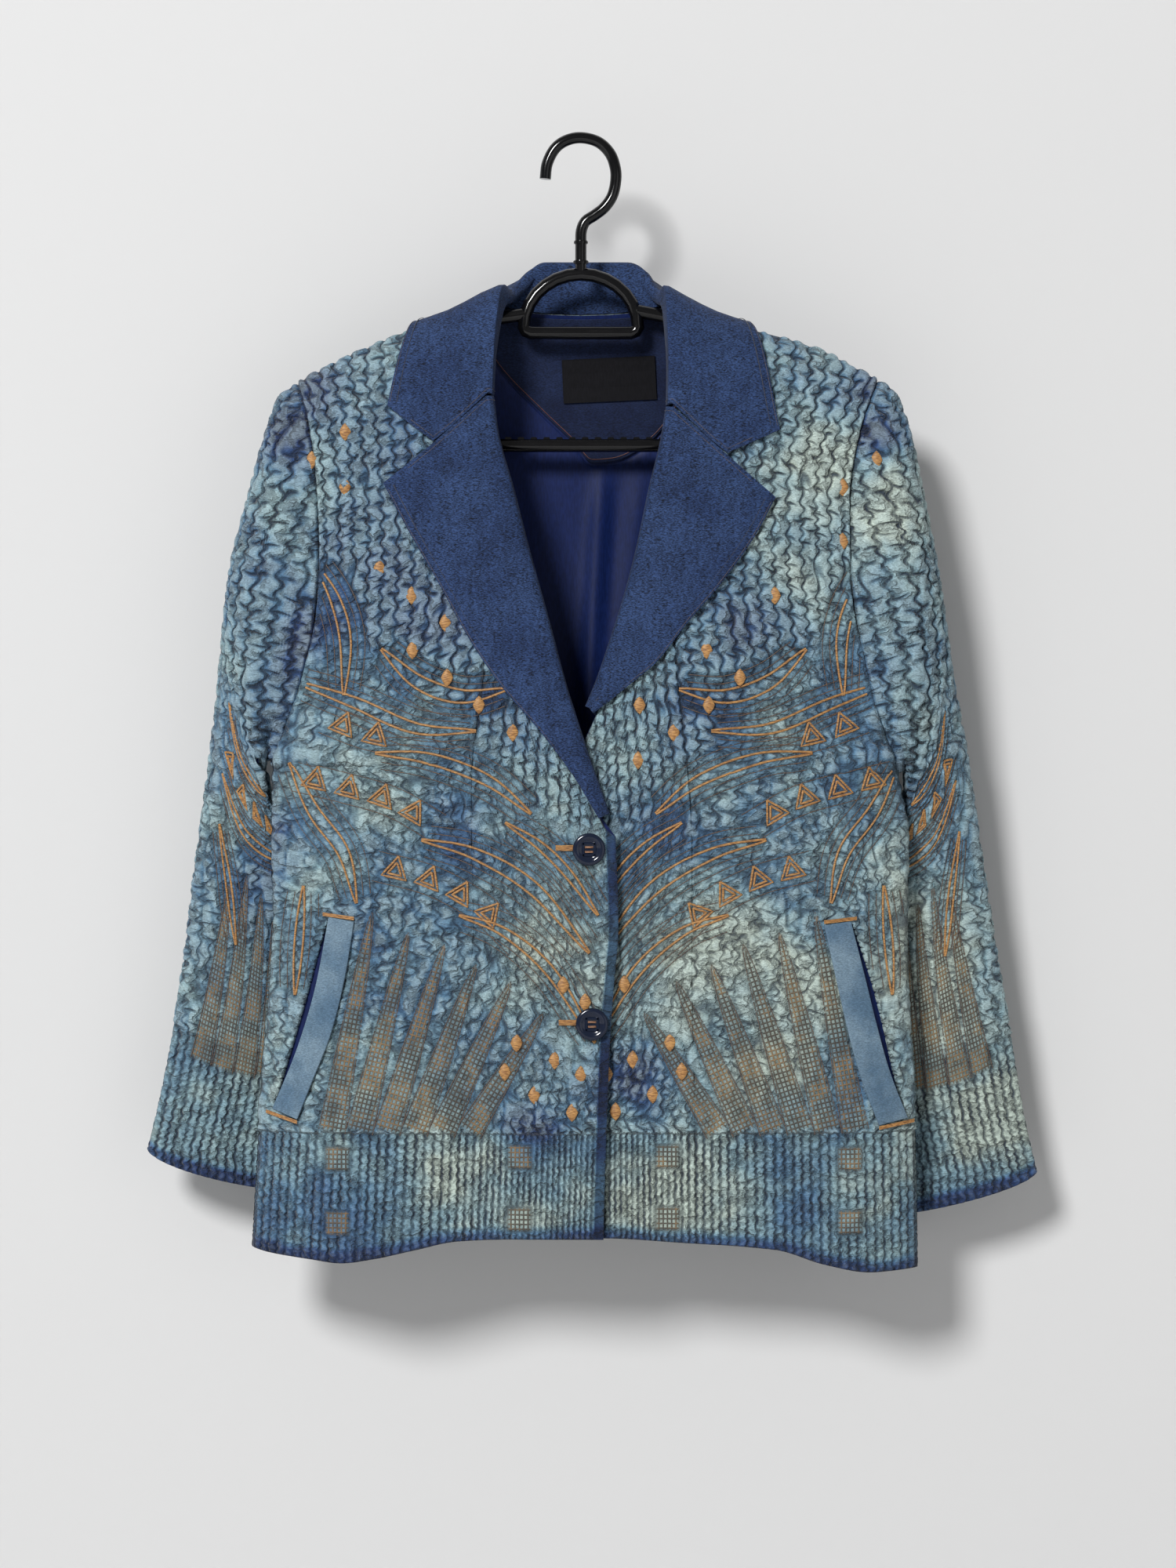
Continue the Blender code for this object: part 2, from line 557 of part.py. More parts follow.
def fold_strip(neck, crest, edge, roll, out_hint, end=None, bulge=0.0, stand_points=2, leaf=LEAF_SHARES):
    """Folded cloth along a crest: up from the neck seam, round the fold and down to the outer edge.

    Each is a row of points along the strip. The last section's leaf runs through the points of end."""
    along = unit(np.gradient(crest, axis=0))
    out = unit(out_hint - along * np.sum(out_hint * along, 1, keepdims=True))
    tip = np.cross(along, out)
    tip = tip * np.sign(np.sum(tip * (crest - (neck + edge) / 2), 1, keepdims=True))
    centre = crest - tip * roll
    sections = [neck + (centre - out * roll - neck) * t for t in np.linspace(0, 1, stand_points + 1)]
    for turn in np.linspace(0, math.pi, 5)[1:-1]:
        sections.append(centre - out * roll * math.cos(turn) + tip * roll * math.sin(turn))
    start = centre + out * roll
    for t in leaf:
        row = start + (edge - start) * t + out * bulge * 4 * t * (1 - t)
        if end is not None:
            path = np.array([start[-1], end, edge[-1]])
            run = np.concatenate([[0], np.cumsum(np.linalg.norm(np.diff(path, axis=0), axis=1))]) / 1.0
            bent = np.array([np.interp(t * run[-1], run, path[:, k]) for k in range(3)])
            share = np.linspace(0, 1, len(row))[:, None] ** 4
            row = row + share * (bent - row[-1])
        sections.append(row)
    return np.stack(sections, 1)


def table_points(table, key, at):
    """Smooth points along a table of rows that start with a share and hold points."""
    rows = [(row[0], row[key]) for row in table]
    return np.stack([smooth([(share, point[k]) for share, point in rows], at) for k in range(len(rows[0][1]))], -1)


def collar_grid(stations):
    """The collar: its stand, its fold and its leaf, from the right front end round the back to the left one."""
    at = np.linspace(0, 1, stations)
    halves = []
    for side in (RIGHT, LEFT):
        neck, crest, edge = (table_points(COLLAR[side], key, at) for key in (1, 2, 3))
        front = ease((at - 0.4) / 0.35)[:, None]
        over = ease((at - 0.2) / 0.35)[:, None] * (1 - front)
        hint = unit((1 - front) * np.array([0, 1.0, 0]) + over * np.array([1.2 * side, 0, 0.9])
                    + front * np.array([0, -1.0, 0]))
        notch = NOTCH[side]
        end = np.array([notch[0], body_depth(FRONT, notch[0], notch[1]) - CLEAR_OF_RIBS - LAPEL_HALF, notch[1]])
        bulge = 3 + 7 * np.exp(-(((at - 0.38) / 0.15) ** 2))[:, None]
        grid = fold_strip(neck, crest, edge, COLLAR_ROLL, hint, end, bulge)
        leaf = grid[:, 5:]
        spread = clear_of_body(leaf.reshape(-1, 3), CLEAR_OF_RIBS + LAPEL_HALF + 1.0)
        grid[:, 5:] = spread.reshape(leaf.shape)
        halves.append(grid)
    return np.concatenate([halves[0][::-1], halves[1][1:]])


def lapel_grid(side, stations):
    """A lapel: the facing inside the front, the fold, and the leaf lying on the front."""
    at = np.linspace(0, 1, stations)
    crest = table_points(LAPEL[side], 1, at)
    edge = table_points(LAPEL[side], 2, at)
    wide = np.linalg.norm(edge - crest, axis=1, keepdims=True)
    toward = (edge - crest) / wide
    roll = np.minimum(LAPEL_ROLL, wide * 0.45)
    inside = crest + toward * np.minimum(LAPEL_FACING_WIDTH, wide + 8)

    leaf_off = CLEAR_OF_RIBS + LAPEL_HALF + 0.4
    crest_off = leaf_off + LAPEL_INSIDE
    crest3 = shell(FRONT, side, *crest.T, np.full(stations, crest_off / 2))
    edge3 = shell(FRONT, side, *edge.T, np.full(stations, leaf_off))
    neck3 = shell(FRONT, side, *inside.T, np.full(stations, LAPEL_INSIDE))
    notch = np.array(NOTCH[side], float)
    end = shell(FRONT, side, notch[0], notch[1] - SEAM_GAP, leaf_off)
    hint = np.tile([0, -1.0, 0], (stations, 1))
    flip = slice(None, None, -1)
    grid = fold_strip(neck3[flip], crest3[flip], edge3[flip], roll[flip], hint, end, bulge=1.8)[flip]
    return grid


def flat_piece(name, x, z_top, z_foot, rows, off, half, material):
    """A plain layer inside the back, between two outlines given over x."""
    v = np.linspace(0, 1, rows + 1)[:, None]
    z = z_top + v * (z_foot - z_top)
    x = np.broadcast_to(x, z.shape)
    off = off(x, z) if callable(off) else np.full(z.shape, off)
    plain_wall(name, shell(BACK, 0, x, z, -off), half, material)


def make_inside(denim, satin, woven):
    """The back neck facing, the lining below it and the label."""
    first = CLOTH_HALF + INSIDE_GAP + FACING_HALF
    x = np.linspace(-70, 70, 15)
    top = smooth(BACK_NECK, x) - 2
    flat_piece("back_neck_facing", x, top, smooth(NECK_FACING_HEM, x), 4, first, FACING_HALF, denim)

    x = np.linspace(-1, 1, 19)
    x = x * np.where(x < 0, 176, 181) * (1 - 0.02 * x * x)
    beside = [(-150, -162), (-100, -140), (100, -144), (150, -160)]
    top = smooth(beside + [(a, z - 2.5) for a, z in NECK_FACING_HEM], x)
    foot = smooth(HEM, x) + LINING_HEM_UP

    def pleated(x, z):
        return first + 1.0 + LINING_PLEAT_DEPTH * np.exp(-(((x - LINING_PLEAT_X) / 9) ** 2)) * ease((-200 - z) / 60)

    flat_piece("lining_back", x, top, foot, 9, pleated, FACING_HALF, satin)

    wide, tall = LABEL_SIZE
    u, v = np.meshgrid(np.linspace(-wide / 2, wide / 2, 7), np.linspace(tall / 2, -tall / 2, 4))
    x = LABEL_CENTRE[0] + u * math.cos(LABEL_TURN) - v * math.sin(LABEL_TURN)
    z = LABEL_CENTRE[1] + u * math.sin(LABEL_TURN) + v * math.cos(LABEL_TURN)
    off = np.full(x.shape, first + FACING_HALF + 3 * SEAM_GAP + LABEL_HALF)
    plain_wall("label", shell(BACK, 0, x, z, -off), LABEL_HALF, woven)


def welt_edge(side, edge, t):
    """A long edge of a welt, from its top to its foot, as x and z."""
    rows = WELT[side][edge]
    return smooth([(s, x) for s, x, _ in rows], t), smooth([(s, z) for s, _, z in rows], t)


def make_welt(name, side, material):
    t = np.linspace(0, 1, 11)
    outer, inner = (np.stack(welt_edge(side, edge, t), 1) for edge in ("outer", "inner"))
    across_ = np.linspace(0, 1, 4)[None, :, None]
    flat = outer[:, None] + (inner - outer)[:, None] * across_
    x, z = flat[..., 0], flat[..., 1]
    off = np.full(x.shape, CLEAR_OF_RIBS + WELT_HALF)
    plain_wall(name, shell(FRONT, side, x, z, off), WELT_HALF, material)


def cut_slit(name, side):
    """The slit through the front beside its welt: a lens cut from front to back."""
    t = np.linspace(0, 1, 13)
    x, z = welt_edge(side, "outer", t)
    x, z = x - side * 1.0, z
    out_x = x + side * (1.0 + SLIT_WIDTH * np.sin(math.pi * t) ** 0.7)
    outline = list(zip(x, z)) + list(zip(out_x, z))[-2:0:-1]
    bm = bmesh.new()
    face = bm.faces.new([bm.verts.new((px, -80, pz)) for px, pz in outline])
    made = bmesh.ops.extrude_face_region(bm, geom=[face])["geom"]
    bmesh.ops.translate(bm, vec=(0, 90, 0), verts=[v for v in made if isinstance(v, bmesh.types.BMVert)])
    cutter = write_mesh(name + "_slit", bm, bpy.data.materials[0], smooth_shaded=False)
    hide(cutter)
    cut(bpy.data.objects[name], cutter)


def hide(cutter):
    """Moves an object among the cutters, which aren't part of the jacket."""
    PARTS.objects.unlink(cutter)
    CUTTERS.objects.link(cutter)
    cutter.hide_render = True
    cutter.display_type = "WIRE"


def cut(target, cutter, operation="DIFFERENCE"):
    modifier = target.modifiers.new(cutter.name, "BOOLEAN")
    modifier.operation = operation
    modifier.solver = "EXACT"
    modifier.object = cutter


def bag_ring(side, s, inset, points=9):
    """One section of a pocket bag: its layer behind the front, and back along the layer nearer the body."""
    ends = 0.04 + inset * 0.009
    t = np.linspace(ends, 1 - ends, points)
    x, z = welt_edge(side, "outer", t)
    shape = np.sin(math.pi * t) ** 0.7
    reach = BAG_DEPTH - inset * 1.2
    mouth = 1.6 - inset
    near_x = x - side * (mouth + s * reach)
    far_x = x + side * (SLIT_WIDTH * shape + mouth) * (1 - s) - side * s * (reach + mouth)
    deep = ease(s / 0.08) * (2.6 + (BAG_GAP - 2.6) * shape ** 0.5 - 2 * inset) * (1 - 0.35 * s)
    near_off = CLOTH_HALF + SEAM_GAP + 0.3 + (0.5 + s) * min(s / 0.03, 1) + inset * ease(s / 0.03)
    near = shell(FRONT, side, near_x, z, np.full(points, -near_off))
    far = shell(FRONT, side, far_x, z, -(near_off + deep))
    return near, far


def make_bag(name, side, material):
    """A pocket bag: a thin pouch whose mouth opens at the slit, and which reaches towards the middle."""
    bm = bmesh.new()
    for inset in (0.0, BAG_WALL):
        rings = []
        for s in BAG_REACH:
            near, far = bag_ring(side, s, inset)
            rings.append(np.concatenate([near, far[::-1]]))
        near, far = bag_ring(side, 1.0, inset)
        tip = (near + far) / 2 - np.array([side * (2.5 - 1.5 * inset), 0, 0])
        rings.append(np.concatenate([tip, tip[::-1]]))
        sheet(bm, np.stack(rings), closed=True)
    bmesh.ops.bridge_loops(bm, edges=[edge for edge in bm.edges if edge.is_boundary])
    write_mesh(name, bm, material)


def make_button(name, at, material):
    """A flat turned button with a raised rim and four holes, on the right front."""
    x, z = at
    radius, half = BUTTON_RADIUS, BUTTON_THICK / 2
    profile = [(0, half - 1.1), (radius * 0.52, half - 1.1), (radius * 0.62, half - 0.2), (radius * 0.72, half),
               (radius - 0.8, half), (radius, half - 0.8), (radius, 0.8 - half), (radius - 0.8, -half), (0, -half)]
    bm = bmesh.new()
    verts = [bm.verts.new((r * MM, 0, h * MM)) for r, h in profile]
    for first, second in zip(verts, verts[1:]):
        bm.edges.new((first, second))
    mesh = bpy.data.meshes.new(name)
    bm.to_mesh(mesh)
    bm.free()
    made = write_object(name, mesh, material, smooth_shaded=False)
    screw = made.modifiers.new("turn", "SCREW")
    screw.steps = screw.render_steps = 18
    screw.use_merge_vertices = True
    screw.merge_threshold = 0.00001
    front = body_depth(FRONT, np.array([x]), np.array([z]))[0] + lap(RIGHT, x, z)
    made.location = (x * MM, (front - CLOTH_HALF - RIB_HEIGHT - SEAM_GAP - half) * MM, z * MM)
    made.rotation_euler = (math.radians(90), 0, 0)
    for number, (dx, dz) in enumerate(((-1, -1), (1, -1), (1, 1), (-1, 1))):
        bpy.ops.mesh.primitive_cylinder_add(vertices=10, radius=0.95 * MM, depth=8 * MM)
        drill = bpy.context.object
        drill.name = f"{name}_hole_{number}"
        drill.location = ((x + 2.1 * dx) * MM, made.location.y, (z + 2.1 * dz) * MM)
        drill.rotation_euler = (math.radians(90), 0, 0)
        for collection in drill.users_collection:
            collection.objects.unlink(drill)
        PARTS.objects.link(drill)
        hide(drill)
        cut(made, drill)


def through(points, count):
    """A smooth open line through points, evenly spaced."""
    points = np.array(points, float)
    run = np.concatenate([[0], np.cumsum(np.linalg.norm(np.diff(points, axis=0), axis=1))])
    ends = np.concatenate([[2 * points[0] - points[1]], points, [2 * points[-1] - points[-2]]])
    fine = []
    for i in range(len(points) - 1):
        p0, p1, p2, p3 = ends[i:i + 4]
        for t in np.linspace(0, 1, 12, endpoint=False):
            fine.append(0.5 * (2 * p1 + (p2 - p0) * t + (2 * p0 - 5 * p1 + 4 * p2 - p3) * t * t
                               + (3 * p1 - p0 - 3 * p2 + p3) * t ** 3))
    fine = np.array(fine + [points[-1]])
    run = np.concatenate([[0], np.cumsum(np.linalg.norm(np.diff(fine, axis=0), axis=1))])
    return np.stack([np.interp(np.linspace(0, run[-1], count), run, fine[:, k]) for k in range(2)], 1)


def rod(name, line, radius, material, ring=False):
    """A round rod along a line in the hanger's plane, as a mesh."""
    curve = bpy.data.curves.new(name, "CURVE")
    curve.dimensions = "3D"
    curve.bevel_depth = radius * MM
    curve.bevel_resolution = 2
    curve.use_fill_caps = True
    spline = curve.splines.new("POLY")
    spline.points.add(len(line) - 1)
    for point, (x, z) in zip(spline.points, line):
        point.co = (x * MM, 0, z * MM, 1)
    spline.use_cyclic_u = ring
    drawn = write_object(name + "_line", curve, material)
    mesh = bpy.data.meshes.new_from_object(drawn.evaluated_get(bpy.context.evaluated_depsgraph_get()))
    bpy.data.objects.remove(drawn)
    bm = bmesh.new()
    bm.from_mesh(mesh)
    bmesh.ops.remove_doubles(bm, verts=bm.verts, dist=0.00001)
    bm.to_mesh(mesh)
    bm.free()
    mesh.materials.clear()
    return write_object(name, mesh, material)


def handle_line():
    """The arched handle under the hook: half an oval over a flat foot with rounded corners."""
    turn = np.linspace(0, math.pi, 15)
    tall = HANDLE_TOP - HANDLE_FOOT - 4
    arch = [(HANDLE_HALF * math.cos(a), HANDLE_FOOT + 4 + tall * math.sin(a)) for a in turn]
    return arch + [(-HANDLE_HALF + 1.5, HANDLE_FOOT + 1.2), (-HANDLE_HALF + 5, HANDLE_FOOT),
                   (HANDLE_HALF - 5, HANDLE_FOOT), (HANDLE_HALF - 1.5, HANDLE_FOOT + 1.2)]


def frame_line():
    """The arms, their rounded tips and the trouser bar, as one line from one side of the handle to the other."""
    line = []
    for side in (RIGHT, LEFT):
        arm = [(side * x, z) for x, z in ARM[side]]
        tip_x, _ = ARM[side][-1]
        half = arm + [(side * (tip_x + dx), z) for dx, z in ARM_TIP] + [(side * 40, -212)]
        line.append(through(half, 21))
    return np.concatenate([line[0], line[1][::-1]])


def make_hanger(plastic):
    hanger = rod("hanger", through(HOOK, 28), HOOK_ROD, plastic)
    for name, line, ring in (("handle", handle_line(), True), ("frame", frame_line(), False)):
        more = rod("hanger_" + name, line, FRAME_ROD, plastic, ring)
        hide(more)
        cut(hanger, more, "UNION")


def main():
    global PARTS, CUTTERS
    for old in list(bpy.data.objects):
        bpy.data.objects.remove(old)
    PARTS = bpy.data.collections.new("denim_jacket_on_hanger")
    CUTTERS = bpy.data.collections.new("cutters")
    for collection in (PARTS, CUTTERS):
        bpy.context.scene.collection.children.link(collection)

    shirred = material("shirred_denim", (0.075, 0.135, 0.165), 0.85)
    plain = material("plain_denim", (0.035, 0.07, 0.15), 0.85)
    pale = material("welt_denim", (0.06, 0.115, 0.21), 0.85)
    satin = material("lining_satin", (0.012, 0.02, 0.075), 0.4)
    woven = material("label_tape", (0.008, 0.008, 0.01), 0.6)
    horn = material("button_resin", (0.01, 0.014, 0.03), 0.18)
    plastic = material("hanger_plastic", (0.006, 0.006, 0.007), 0.15)

    for word, side in (("right", RIGHT), ("left", LEFT)):
        shirred_panel("front_" + word, FRONT, side, partial(front_place, side), FRONT_RIBS, shirred,
                      steep_columns(side))
    shirred_panel("back", BACK, 0, back_place, BACK_RIBS, shirred)
    for word, side in (("right", RIGHT), ("left", LEFT)):
        make_sleeve("sleeve_" + word, side, shirred)
        plain_wall("lapel_" + word, lapel_grid(side, 9), LAPEL_HALF, plain)
        make_welt("welt_" + word, side, pale)
        cut_slit("front_" + word, side)
        make_bag("pocket_bag_" + word, side, satin)
    plain_wall("collar", collar_grid(12), LAPEL_HALF, plain)
    make_inside(plain, satin, woven)
    for word, at in zip(("upper", "lower"), BUTTONS):
        make_button("button_" + word, at, horn)
    make_hanger(plastic)


main()
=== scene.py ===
# %% [markdown]
# # A shirred denim jacket on a plastic hanger
#
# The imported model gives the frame: the origin is the inner top of the hook, +Z is up and -Y faces the viewer.
# Each cell of this script makes one kind of piece. Cloth panels repeat the CAD's outlines on a grid of about
# 1.3 mm, and get the puckers, stitching and colours that are too fine for the CAD.

# %%
import json
import math

import bmesh
import bpy
import numpy as np
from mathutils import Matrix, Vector, kdtree

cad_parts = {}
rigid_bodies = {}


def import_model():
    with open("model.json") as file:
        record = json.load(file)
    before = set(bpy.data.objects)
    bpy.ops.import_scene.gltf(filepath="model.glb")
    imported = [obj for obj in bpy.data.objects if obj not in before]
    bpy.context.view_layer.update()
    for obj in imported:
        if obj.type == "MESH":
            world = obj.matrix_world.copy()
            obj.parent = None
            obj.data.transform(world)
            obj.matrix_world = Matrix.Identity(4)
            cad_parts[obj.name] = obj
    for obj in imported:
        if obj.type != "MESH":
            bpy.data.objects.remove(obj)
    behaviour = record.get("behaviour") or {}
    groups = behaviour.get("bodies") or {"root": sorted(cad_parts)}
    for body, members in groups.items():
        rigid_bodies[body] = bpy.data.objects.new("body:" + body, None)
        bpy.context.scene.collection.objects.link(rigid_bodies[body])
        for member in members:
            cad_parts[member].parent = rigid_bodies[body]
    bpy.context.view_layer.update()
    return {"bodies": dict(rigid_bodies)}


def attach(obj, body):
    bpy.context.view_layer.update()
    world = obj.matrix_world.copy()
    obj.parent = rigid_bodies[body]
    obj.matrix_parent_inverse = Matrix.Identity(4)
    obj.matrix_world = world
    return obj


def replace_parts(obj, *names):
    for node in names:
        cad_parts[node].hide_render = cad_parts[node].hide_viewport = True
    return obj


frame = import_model()
BODY = next(iter(frame["bodies"]))

MM = 0.001
RIGHT, LEFT = -1, 1
FRONT, BACK = -1, 1
SIDES = (("right", RIGHT), ("left", LEFT))

# %% [markdown]
# ## Camera, light and backdrop
#
# The camera looks straight at the jacket from 3 m. A wall stands close behind it, so that the key light from
# the upper left drops a soft shadow to the lower right. The wall is clear from behind.

# %%
VIEW_CENTRE, VIEW_DISTANCE, VIEW_HEIGHT = (0.005, -0.4494), 3.0, 1.1
WALL_DEPTH, FLOOR_HEIGHT = 0.085, -1.35


def aim(thing, target):
    thing.rotation_euler = (Vector(target) - thing.location).to_track_quat("-Z", "Y").to_euler()


def make_camera():
    data = bpy.data.cameras.new("camera")
    data.sensor_width = 36
    data.lens = data.sensor_width * VIEW_DISTANCE / VIEW_HEIGHT
    camera = bpy.data.objects.new("camera", data)
    bpy.context.scene.collection.objects.link(camera)
    camera.location = (VIEW_CENTRE[0], -VIEW_DISTANCE, VIEW_CENTRE[1])
    aim(camera, (VIEW_CENTRE[0], 0, VIEW_CENTRE[1]))
    bpy.context.scene.camera = camera


def make_light(name, place, target, size, power):
    data = bpy.data.lights.new(name, "AREA")
    data.shape, data.size, data.energy = "DISK", size, power
    light = bpy.data.objects.new(name, data)
    bpy.context.scene.collection.objects.link(light)
    light.location = place
    aim(light, target)


def make_stage():
    paint = bpy.data.materials.new("backdrop_paint")
    paint.use_nodes = True
    tree = paint.node_tree
    shader = tree.nodes["Principled BSDF"]
    shader.inputs["Base Color"].default_value = (0.69, 0.69, 0.69, 1)
    shader.inputs["Roughness"].default_value = 0.95
    shader.inputs["Specular IOR Level"].default_value = 0.1
    clear = tree.nodes.new("ShaderNodeBsdfTransparent")
    side_seen = tree.nodes.new("ShaderNodeNewGeometry")
    mix = tree.nodes.new("ShaderNodeMixShader")
    tree.links.new(side_seen.outputs["Backfacing"], mix.inputs[0])
    tree.links.new(shader.outputs[0], mix.inputs[1])
    tree.links.new(clear.outputs[0], mix.inputs[2])
    tree.links.new(mix.outputs[0], tree.nodes["Material Output"].inputs["Surface"])

    bm = bmesh.new()
    for z_low, z_high, y_near, y_far in ((FLOOR_HEIGHT, 2.5, WALL_DEPTH, WALL_DEPTH),
                                         (FLOOR_HEIGHT, FLOOR_HEIGHT, -6, WALL_DEPTH)):
        corners = [(-6, y_near, z_low), (6, y_near, z_low), (6, y_far, z_high), (-6, y_far, z_high)]
        bm.faces.new([bm.verts.new(corner) for corner in corners])
    mesh = bpy.data.meshes.new("backdrop")
    bm.to_mesh(mesh)
    bm.free()
    mesh.materials.append(paint)
    backdrop = bpy.data.objects.new("backdrop", mesh)
    bpy.context.scene.collection.objects.link(backdrop)


make_camera()
make_stage()
make_light("key", (-2.65, -6.4, 2.95), (0, 0, -0.45), 1.8, 500)
make_light("fill", (3.0, -4.4, -0.6), (0, 0, -0.45), 3.5, 20)
world = bpy.data.worlds.new("studio")
world.use_nodes = True
world.node_tree.nodes["Background"].inputs["Color"].default_value = (1, 1, 1, 1)
world.node_tree.nodes["Background"].inputs["Strength"].default_value = 0.2
bpy.context.scene.world = world
bpy.context.scene.view_settings.view_transform = "Standard"

# %% [markdown]
# ## The jacket's shape, in millimetres
#
# These tables, and the functions of the cells after them, are the CAD's own, so that each panel lies where
# its solid does. The wearer's right front, at -X, laps over the left one.

# %%
# Cloth
CLOTH_HALF = 1.0  # half the thickness of the shell cloth
RIB_HEIGHT = 2.2  # the shirring stands this far out of the cloth
SEAM_GAP = 0.3
FACING_HALF = 0.6
INSIDE_GAP = 1.2  # between the shell and a layer hanging inside it
LAPEL_HALF = 1.1
LAPEL_INSIDE = -(CLOTH_HALF + LAPEL_HALF + INSIDE_GAP)
CLEAR_OF_RIBS = CLOTH_HALF + RIB_HEIGHT + 0.8

# The body's outline as it hangs, as (height, half width) from the shoulder point to the hem
HALF_WIDTH = {
    RIGHT: [(-168, 198), (-195, 190), (-240, 184), (-285, 182), (-330, 184), (-372, 193), (-410, 205),
            (-440, 214), (-490, 214), (-540, 213), (-600, 217), (-680, 223), (-785, 229)],
    LEFT: [(-165, 208), (-205, 194), (-250, 187), (-310, 188), (-367, 198), (-410, 209),
           (-445, 221), (-490, 227), (-540, 227), (-600, 228), (-680, 232), (-790, 234)],
}
# The top of the shoulders over the distance from the middle, running on level under the collar
SHOULDER = {
    RIGHT: [(0, -101), (60, -106), (73, -113), (95, -124), (119, -132), (145, -143), (171, -155), (188, -164),
            (198, -170)],
    LEFT: [(0, -101), (60, -106), (73, -113), (95, -124), (120, -132), (143, -138), (168, -147), (192, -159),
           (209, -168)],
}
# The hem's height over x
HEM = [(-232, -771), (-216, -775), (-185, -779), (-166, -781), (-143, -778), (-115, -772), (-86, -766),
       (-40, -764), (15, -764), (70, -767), (135, -772), (168, -782), (202, -788), (236, -786)]
# How deep the body hangs in front of and behind the hanger, down its middle
MIDDLE_DEPTH = {
    FRONT: [(-110, -31), (-200, -38), (-300, -44), (-450, -47), (-600, -45), (-790, -44)],
    BACK: [(-110, 25), (-200, 30), (-300, 33), (-450, 32), (-600, 31), (-790, 33)],
}
SIDE_DEPTH = [(-165, 0), (-300, 0), (-440, -8), (-500, -12), (-600, -14), (-790, -14)]
SHOULDER_ROUND = {FRONT: 60, BACK: 80}
SIDE_ROUND = 2.4
ARMHOLE_GAPE = 22
SEAM_HALF = 0.2  # from the middle of a seam to the end of each cloth
ARMHOLE_RISE = 110

# Rows down a body panel, as shares of its height; the armhole ends on one of them
ARMHOLE_SHARE = 0.442
BODY_ROWS = [0, 0.006, 0.02, 0.045, 0.09, 0.15, 0.22, 0.3, 0.37, ARMHOLE_SHARE, 0.53, 0.65, 0.82, 1]

NECK_POINT = 73

# Centre front: the right front laps over the left one
FRONT_EDGE = {
    RIGHT: [(-484, 24), (-548, 26), (-587, 23), (-631, 20), (-713, 17), (-790, 15)],
    LEFT: [(-484, -12), (-790, -12)],
}
LAP = {RIGHT: -3.5, LEFT: 5.5}
LAP_FADE = 60
# The necklines over x, from the end of the fold up to the neck point
NECKLINE = {
    RIGHT: [(-73, -113), (-69.5, -140), (-67.5, -178), (-61, -213), (-52, -252), (-43, -285), (-33, -329),
            (-21, -372), (-9, -410), (4, -446), (17, -480), (24, -486)],
    LEFT: [(-12, -446), (-5, -434), (7, -410), (18, -383), (31, -348), (40, -316), (48.5, -285), (53, -259),
           (59, -229), (65, -205), (68, -180), (69.5, -140), (73, -113)],
}
BACK_NECK = [(-73, -113), (-55, -115), (-30, -118), (0, -119), (30, -118), (55, -115), (73, -113)]

# Sleeves, from the armhole to the cuff: outer edge (x, z), inner edge (x, z), then how deep the outer edge,
# the inner edge, the front and the back lie, and how far the middle sags below the line between the edges
SLEEVE = {
    RIGHT: [
        (0.00, -198, -170, -214, -437, 0, -8, -22, 22, 0),
        (0.06, -208, -177, -221, -432, 1, -4, -24, 24, 0),
        (0.12, -217, -199, -225, -437, 3, 1, -25, 27, 0),
        (0.20, -230, -245, -225, -448, 6, 7, -23, 32, 0),
        (0.28, -244, -300, -222, -460, 9, 13, -17, 38, 0),
        (0.36, -251, -358, -217, -476, 13, 18, -9, 42, 0),
        (0.44, -257, -413, -208, -498, 18, 24, 0, 46, 0),
        (0.52, -264, -463, -198, -528, 22, 28, 8, 48, 0),
        (0.60, -271, -510, -190, -562, 25, 30, 13, 49, 1),
        (0.70, -278, -567, -184, -606, 27, 31, 15, 49, 2),
        (0.80, -287, -625, -180, -651, 28, 31, 17, 48, 4),
        (0.90, -297, -675, -178, -695, 28, 31, 18, 46, 7),
        (1.00, -305, -708, -177, -732, 28, 31, 18, 45, 12),
    ],
    LEFT: [
        (0.00, 208, -167, 219, -440, 0, -8, -22, 22, 0),
        (0.06, 217, -173, 227.5, -434, 1, -4, -24, 24, 0),
        (0.12, 227, -197, 230, -440, 3, 1, -25, 27, 0),
        (0.20, 237, -243, 231, -452, 6, 7, -23, 32, 0),
        (0.28, 249, -304, 230, -465, 9, 13, -17, 38, 0),
        (0.36, 258, -364, 228, -482, 13, 18, -9, 42, 0),
        (0.44, 268, -418, 220, -504, 18, 24, 0, 46, 0),
        (0.52, 276, -468, 210, -534, 22, 28, 8, 48, 0),
        (0.60, 284, -518, 202, -569, 25, 30, 13, 49, 1),
        (0.70, 293, -575, 196, -614, 27, 31, 15, 49, 2),
        (0.80, 303, -632, 192, -662, 28, 31, 17, 48, 4),
        (0.90, 312, -685, 190, -710, 28, 31, 18, 46, 6),
        (1.00, 321, -724, 190, -752, 28, 31, 18, 45, 10),
    ],
}
SLEEVE_SEAM_GAP = 1.9

